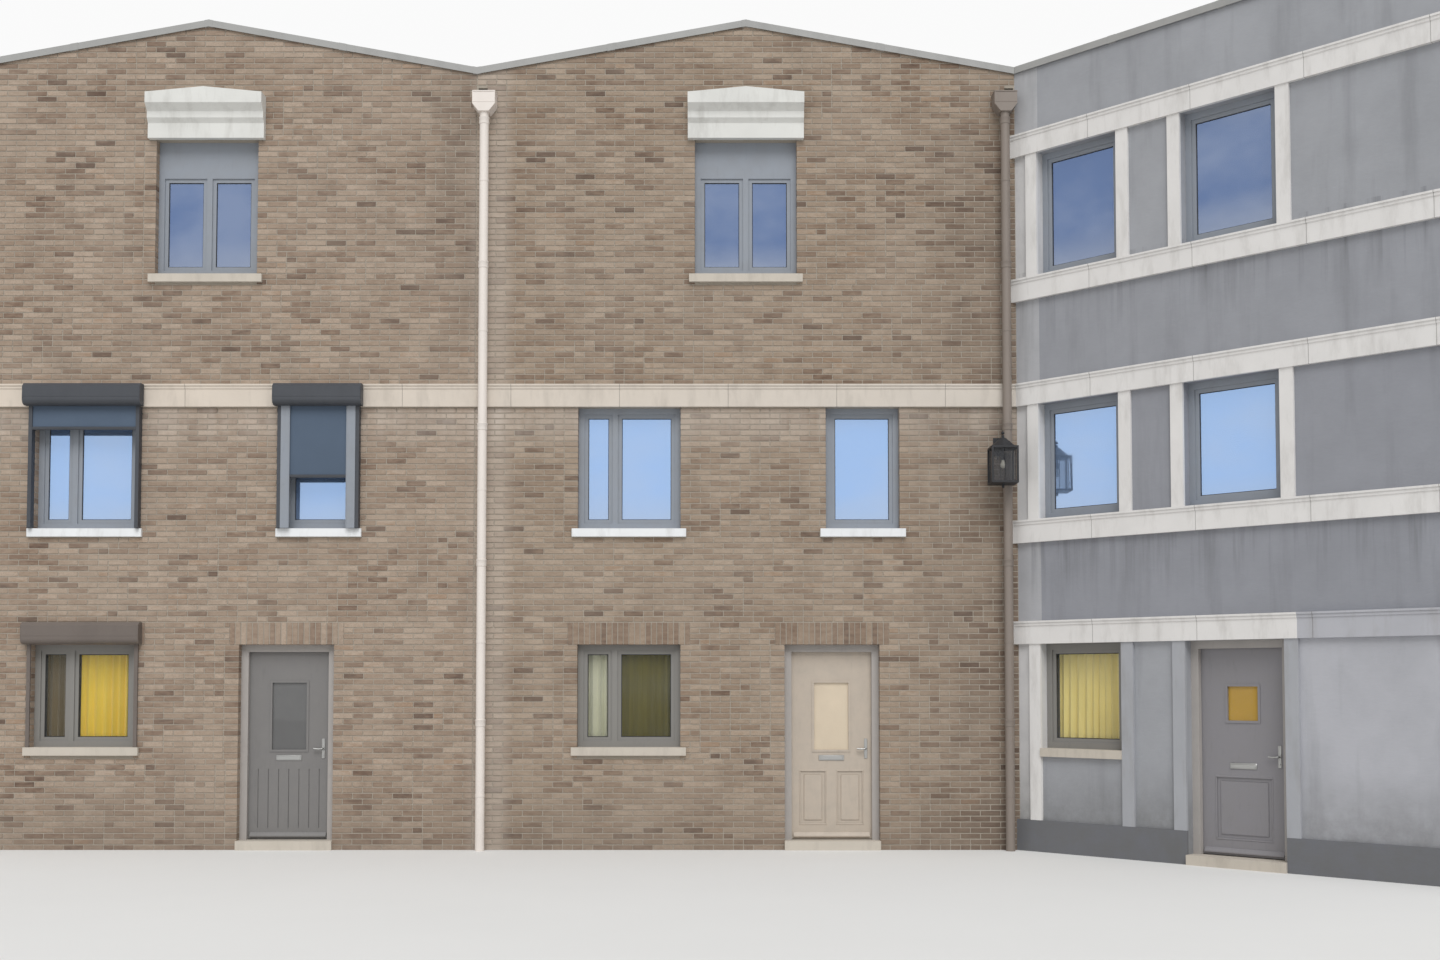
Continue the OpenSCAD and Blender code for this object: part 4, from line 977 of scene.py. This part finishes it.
def sun_screens():
    """The two lowered screens of the first house: taut cloth with a bar along its foot."""
    bars = Shape()
    sheets = []
    for n, ((u0, d0, z0), (u1, d1, z1)) in enumerate(solids("lowered_screens")):
        foot = z0 + SCREEN_BAR
        drop = z1 - foot + SCREEN_TUCK
        across, up = np.meshgrid(np.linspace(0, 1, 25), np.linspace(0, 1, 21))
        bulge = 4 * MM * np.sin(math.pi * across) * np.sin(math.pi * up)
        grid = np.stack((u0 + (u1 - u0) * across, (d0 + d1) / 2 - bulge, foot - SCREEN_TUCK + drop * up),
                        axis=-1)
        sheets.append(piece(f"screen_cloth_{n + 1}", grid.reshape(-1, 3), quads(*grid.shape[:2]),
                            "screen_fabric", smooth=True))
        bars.block((u0 + 2 * MM, d0 + 2 * MM, z0), (u1 - 2 * MM, d1 - 2 * MM, foot), 5 * MM)
        bars.block((u0 + 20 * MM, d0 - MM, z0 + 12 * MM), (u1 - 20 * MM, d0 + 3 * MM, z0 + 22 * MM), MM)
        for u in (u0, u1 - 12 * MM):
            bars.block((u, d0, z0 - MM), (u + 12 * MM, d1, foot + MM), 3 * MM)
    made = bars.make("screen_bottom_bars", "screen_metal")
    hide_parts("lowered_screens")
    for sheet in sheets:
        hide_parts("lowered_screens")


def screen_guides():
    """The broad guides that hold the edges of the narrow screen."""
    shape = Shape()
    low, high = min(solids("lowered_screens"), key=lambda s: s[1][0] - s[0][0])
    z0, z1 = next((l[2], h[2]) for l, h in solids("screen_rails")
                  if abs(h[0] - low[0]) < 2 * MM or abs(l[0] - high[0]) < 2 * MM)
    front = low[1]
    for edge, side in ((low[0], 1), (high[0], -1)):
        inner = edge + side * GUIDE_W
        for outer, out, into, arris in ((edge, 5, -1, 1), (inner - side * 9 * MM, 8, 3, 2)):
            a, b = sorted((outer, inner))
            shape.block((a, front - out * MM, z0), (b, front + into * MM, z1), arris * MM)
        for z in np.linspace(z0 + 0.1, z1 - 0.1, 4):
            shape.screw(edge + side * 30 * MM, front - 4 * MM, z, 5 * MM)
    shape.make("screen_guides", "frame_paint", slot="frame_paint", smooth=True)


def cassette_details():
    """End caps, a seam, a slot and screws on the sun-screen cassettes, and caps on their rails."""
    shape = Shape()
    for (u0, d0, z0), (u1, d1, z1) in solids("screen_cassettes"):
        seam = z0 + 0.36 * (z1 - z0)
        for u in (u0 - MM, u1 - 13 * MM):
            shape.block((u, d0 - 2 * MM, z0 + 62 * MM), (u + 14 * MM, d1 - 2 * MM, z1 - 38 * MM), 4 * MM)
            for z in (z0 + 90 * MM, z1 - 60 * MM):
                shape.screw(u + 7 * MM, d0 - MM, z, 4 * MM)
        shape.block((u0 + 14 * MM, d0 - 2 * MM, seam), (u1 - 14 * MM, d0 + 6 * MM, seam + 5 * MM), MM)
        shape.block((u0 + 30 * MM, d0 + 50 * MM, z0 - 3 * MM),
                    (u1 - 30 * MM, d0 + 62 * MM, z0 + 4 * MM), MM)
    for (u0, d0, z0), (u1, d1, z1) in solids("screen_rails"):
        shape.block((u0 - MM, d0 - MM, z0), (u1 + MM, d1, z0 + 18 * MM), 2 * MM)
        for z in np.linspace(z0 + 0.08, z1 - 0.08, 4):
            shape.screw((u0 + u1) / 2, d0 + MM, z, 4.5 * MM)
    shape.make("cassette_details", "screen_metal", smooth=True)


# Doors
PANEL_FOOT = 160 * MM
PANEL_EDGE = 42 * MM
# A weather bar's section: (depth from the leaf's face, height over its foot) in mm
WEATHER_BAR = [(1, 20), (1, 72), (-8, 70), (-30, 34), (-30, 24), (-24, 20)]


def door_face(n):
    return TURNED if n == 3 else FRONT


def height(solid):
    return solid[1][2] - solid[0][2]


def lever_set(shape, x, d, z, out, plate_h, lever_l):
    """A back plate with a lever and a lock cylinder on one face of a leaf; out is -1 at the street."""
    def at(u, away, up):
        return (x + u, d + out * away, z + up)

    def slab(u0, a0, z0, u1, a1, z1, arris):
        low, high = np.array(at(u0, a0, z0)), np.array(at(u1, a1, z1))
        shape.block(np.minimum(low, high), np.maximum(low, high), arris)

    def knob(up, radius, sides, *outs):
        shape.tube([at(0, a * MM, up) for a in outs], radius, sides)
    slab(-18 * MM, 0, -plate_h / 2, 18 * MM, 8 * MM, plate_h / 2, 3 * MM)
    knob(0, 15 * MM, 24, 7, 10, 13)
    bend = [at(-12 * MM * (1 - math.cos(t)), (33 + 12 * math.sin(t)) * MM, 0)
            for t in np.linspace(0, math.pi / 2, 7)]
    grip = [at(-u, 45 * MM, -4 * MM * math.sin(math.pi * u / lever_l))
            for u in np.linspace(0.02, lever_l, 8)]
    shape.tube([at(0, a * MM, 0) for a in (8, 20)] + bend + grip, 9 * MM, 16)
    knob(-72 * MM, 9 * MM, 20, 7, 12, 16)
    slab(-1.2 * MM, 16 * MM, -77 * MM, 1.2 * MM, 17 * MM, -67 * MM, 0.3 * MM)
    for up in (-plate_h / 2 + 12 * MM, plate_h / 2 - 12 * MM):
        knob(up, 4 * MM, 12, 7, 8.5, 10)


def door_furniture(n):
    """Levers on both faces and a letter plate with its flap, in place of the plain ones."""
    face = door_face(n)
    parts = solids(f"door_furniture_{n}", face)
    letter = min(parts, key=height)
    levers = sorted((s for s in parts if s is not letter), key=lambda s: s[0][1])
    shape = Shape()
    for out, (low, high) in zip((-1, 1), levers):
        x = high[0] - 18 * MM
        lever_set(shape, x, high[1] if out < 0 else low[1], (low[2] + high[2]) / 2, out,
                  high[2] - low[2], x - low[0] - 9 * MM)
    (u0, d0, z0), (u1, _, z1) = letter
    shape.block(*letter, 3 * MM)
    shape.block((u0 + 14 * MM, d0 - 4 * MM, z0 + 9 * MM),
                (u1 - 14 * MM, d0 + 2 * MM, z1 - 14 * MM), 2 * MM)
    hinge = np.linspace(u0 + 12 * MM, u1 - 12 * MM, 5)
    shape.tube([(u, d0 - 2 * MM, z1 - 12 * MM) for u in hinge], 3.5 * MM, 12)
    made = shape.make(f"lever_handles_{n}", "ironmongery", face, f"door_{n}", smooth=True)
    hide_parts(f"door_furniture_{n}")


def door_trim(n):
    """A weather bar at a leaf's foot, and the raised fields in its panels."""
    face = door_face(n)
    low, high = max(solids(f"front_door_{n}", face), key=height)
    middle = next((l[0] + h[0]) / 2 for l, h in solids("thresholds", face)
                  if l[0] < (low[0] + high[0]) / 2 < h[0])
    half = high[0] - middle
    leaf_d = min(solids(f"door_furniture_{n}", face), key=height)[1][1]
    shape = Shape()
    shape.rings([[(u, leaf_d + d * MM, low[2] + z * MM) for d, z in WEATHER_BAR]
                 for u in (middle - half + 30 * MM, middle + half - 30 * MM)])
    width = 2 * half
    panels = {1: [], 2: [(s * width / 4.4, width * 0.32, 588 * MM) for s in (-1, 1)],
              3: [(0.0, width * 0.66, (high[2] - low[2]) * 0.3)]}[n]
    foot = low[2] + PANEL_FOOT
    for x, w, h in panels:
        a, b = middle + x - w / 2, middle + x + w / 2
        shape.block((a + PANEL_EDGE, leaf_d + 2 * MM, foot + PANEL_EDGE),
                    (b - PANEL_EDGE, leaf_d + 12 * MM, foot + h - PANEL_EDGE), 8 * MM)
        shape.border((a - 9 * MM, foot - 9 * MM), (b + 9 * MM, foot + h + 9 * MM),
                     18 * MM, leaf_d - 5 * MM, leaf_d + 4 * MM, 4 * MM)
    shape.make(f"door_trim_{n}", f"door_paint_{n}", face, f"door_{n}")


# Metalwork
PIPE_R_MM = 50
PIPE_D = -120 * MM
COLLAR_ZS = (1.35, 3.1, 4.6, 6.4)
# A collar's section: (distance out of the pipe, height over its foot) in mm
COLLAR = [(-1, 0), (5, 2), (6, 10), (5, 60), (9, 66), (9, 74), (-1, 78)]
STRIP_LIP = 77 * MM
STRIP_OVER = 2 * MM
STRIP_HALF = 45 * MM
STRIP_PITCH = 1.5


def pipe_details():
    """Collars at the downpipes' joints, and rolled rims and seams on the rainwater heads."""
    shape = Shape()
    for (u0, d0, _), (u1, _, top) in solids("downpipes"):
        u = (u0 + u1) / 2
        for z in (*COLLAR_ZS, top - 0.36):
            shape.turned(u, PIPE_D, z, [(PIPE_R_MM + out, up) for out, up in COLLAR], caps=False)
        z = top - 8 * MM
        rim = [(u0, -2 * MM, z), (u0, d0 + 20 * MM, z), (u0 + 3 * MM, d0 + 5 * MM, z),
               (u0 + 20 * MM, d0, z), (u, d0, z)]
        shape.tube(rim + [(u0 + u1 - v, d, z) for v, d, z in rim[-2::-1]], 8 * MM, 12)
        seam = top - 0.13
        shape.block((u0 - 2 * MM, d0 - 3 * MM, seam), (u1 + 2 * MM, -MM, seam + 12 * MM), 2 * MM)
    shape.make("pipe_details", "rainwater_metal", smooth=True)


def cover_strips():
    """Strips over the joints of the copings."""
    shape = Shape()
    low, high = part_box("gable_copings")
    for d in (low.y, high.y - WALL_T - 60 * MM):
        for u in [k * STRIP_PITCH for k in range(-3, 4)]:
            edge = [(v, high.z - GABLE_SLOPE * abs(abs(v) - HOUSE_W / 2))
                    for v in (u - STRIP_HALF, u, u + STRIP_HALF)]
            outline = [(v, z - STRIP_LIP) for v, z in edge]
            outline += [(v, z + STRIP_OVER) for v, z in reversed(edge)]
            shape.prism(outline, d - 2 * MM, d + WALL_T + 62 * MM)
    shape.make("coping_strips_gables", "coping_metal")
    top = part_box("parapet_coping")[1].z
    for name, face, places, out, depth, lip in (
            ("turned_front", TURNED, (1.25, 2.5, 3.75), 32 * MM, WALL_T, STRIP_LIP),
            ("right_end", RIGHT_END, (2.0, 4.0, 6.0), 0.0, 300 * MM, 42 * MM),
            ("turned_rear", TURNED_REAR, (-1.2, 0.9, 3.0), 32 * MM, WALL_T, STRIP_LIP)):
        shape = Shape()
        for u in places:
            shape.block((u - STRIP_HALF, -out, top - lip),
                        (u + STRIP_HALF, depth + 32 * MM, top + STRIP_OVER), MM)
        shape.make(f"coping_strips_{name}", "coping_metal", face)


def lantern_details():
    """The lantern's lamp, its holder, glazing bars, a ball and the scroll under its arm."""
    low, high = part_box("wall_lantern")
    x = (low.x + high.x) / 2
    half = (high.x - low.x) / 2
    y = low.y + half
    foot_z, head_z = (corner.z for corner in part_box("lantern_glass"))
    shape = Shape()
    shape.turned(x, y, head_z, [(4, -120), (22, -118), (24, -60), (12, -50), (12, 10)])
    shape.turned(x, y, high.z, [(3, -14), (15, -8), (19, 3), (14, 14), (5, 20), (2, 34)])
    shape.turned(x, y, low.z, [(2, -20), (12, -10), (15, 0), (8, 12)])
    for side in (-1, 1):
        bar = side * (half - 8 * MM)
        shape.block((x - 3 * MM, y + bar - 5 * MM, foot_z), (x + 3 * MM, y + bar + 5 * MM, head_z), MM)
        shape.block((x + bar - 5 * MM, y - 3 * MM, foot_z), (x + bar + 5 * MM, y + 3 * MM, head_z), MM)
    arm_z = high.z - 76 * MM
    shape.tube([(x, -0.012 - 0.15 * (1 - math.cos(t)), arm_z - 0.17 + 0.17 * math.sin(t))
                for t in np.linspace(0, math.pi / 2, 14)], 7 * MM, 12)
    shape.make("lantern_details", "lantern_metal", smooth=True)
    lamp = Shape()
    lamp.turned(x, y, head_z - 116 * MM,
                [(3, -96), (16, -90), (27, -74), (30, -56), (25, -36), (16, -14), (14, 0)])
    lamp.make("lantern_lamp", "bulb", slot="lantern_glass", smooth=True)


# Stage
FLOOR_REACH = 400.0
FLOOR_COLORS = (0.80, 0.80, 0.79), (0.76, 0.76, 0.75)
BACKDROP_LEVEL = 0.96
FILL_LEVEL = 0.62
SUN_LEVEL = 1.7
SUN_SPREAD = math.radians(35)
SUN_WAY = (-0.1, 0.95, -1.0)
CAMERA_PLACE = (2.713, -17.60, 1.803)
CAMERA_TILT = math.radians(2.5)
CAMERA_LENS = 40.0
CAMERA_SENSOR = 36.0
CAMERA_SHIFT = 0.0938


def stage_and_light():
    mesh = bpy.data.meshes.new("floor")
    corners = ((-1, -1), (1, -1), (1, 1), (-1, 1))
    mesh.from_pydata([(x * FLOOR_REACH, y * FLOOR_REACH, 0) for x, y in corners], [], [(0, 1, 2, 3)])
    s = Shader(roughness=0.9, specular_ior_level=0.1)
    mesh.materials.append(s.finish(s.mix(s.noise(0.4), *FLOOR_COLORS)))
    mesh.materials[0].name = "floor"
    floor = put_in_scene("floor", mesh)

    world = bpy.data.worlds.new("studio")
    world.use_nodes = True
    bpy.context.scene.world = world
    nodes, link = world.node_tree.nodes, world.node_tree.links.new
    path = nodes.new("ShaderNodeLightPath")
    seen = path.outputs["Is Camera Ray"]
    for ray in ("Is Glossy Ray", "Is Transmission Ray"):
        either = nodes.new("ShaderNodeMath")
        either.operation = "MAXIMUM"
        link(seen, either.inputs[0])
        link(path.outputs[ray], either.inputs[1])
        seen = either.outputs[0]
    level = nodes.new("ShaderNodeMapRange")
    link(seen, level.inputs["Value"])
    level.inputs["To Min"].default_value = FILL_LEVEL
    level.inputs["To Max"].default_value = BACKDROP_LEVEL
    link(level.outputs["Result"], nodes["Background"].inputs["Strength"])
    nodes["Background"].inputs["Color"].default_value = (1.0, 1.0, 1.0, 1.0)

    lamp = bpy.data.lights.new("soft_sun", "SUN")
    lamp.energy = SUN_LEVEL
    lamp.angle = SUN_SPREAD
    sun = put_in_scene("soft_sun", lamp)
    sun.rotation_euler = Vector(SUN_WAY).to_track_quat("-Z", "Y").to_euler()


def place_camera():
    lens = bpy.data.cameras.new("camera")
    lens.sensor_width = CAMERA_SENSOR
    lens.lens = CAMERA_LENS
    lens.shift_y = CAMERA_SHIFT
    camera = put_in_scene("camera", lens)
    camera.location = CAMERA_PLACE
    camera.rotation_euler = (math.pi / 2 + CAMERA_TILT, 0.0, 0.0)
    bpy.context.scene.camera = camera


place_camera()
stage_and_light()
dress_cad_nodes()
brick_walls()
glazing_gaskets()
curtains()
sun_screens()
screen_guides()
cassette_details()
for door in (1, 2, 3):
    door_furniture(door)
    door_trim(door)
pipe_details()
cover_strips()
lantern_details()
bpy.context.scene.view_settings.view_transform = "Standard"
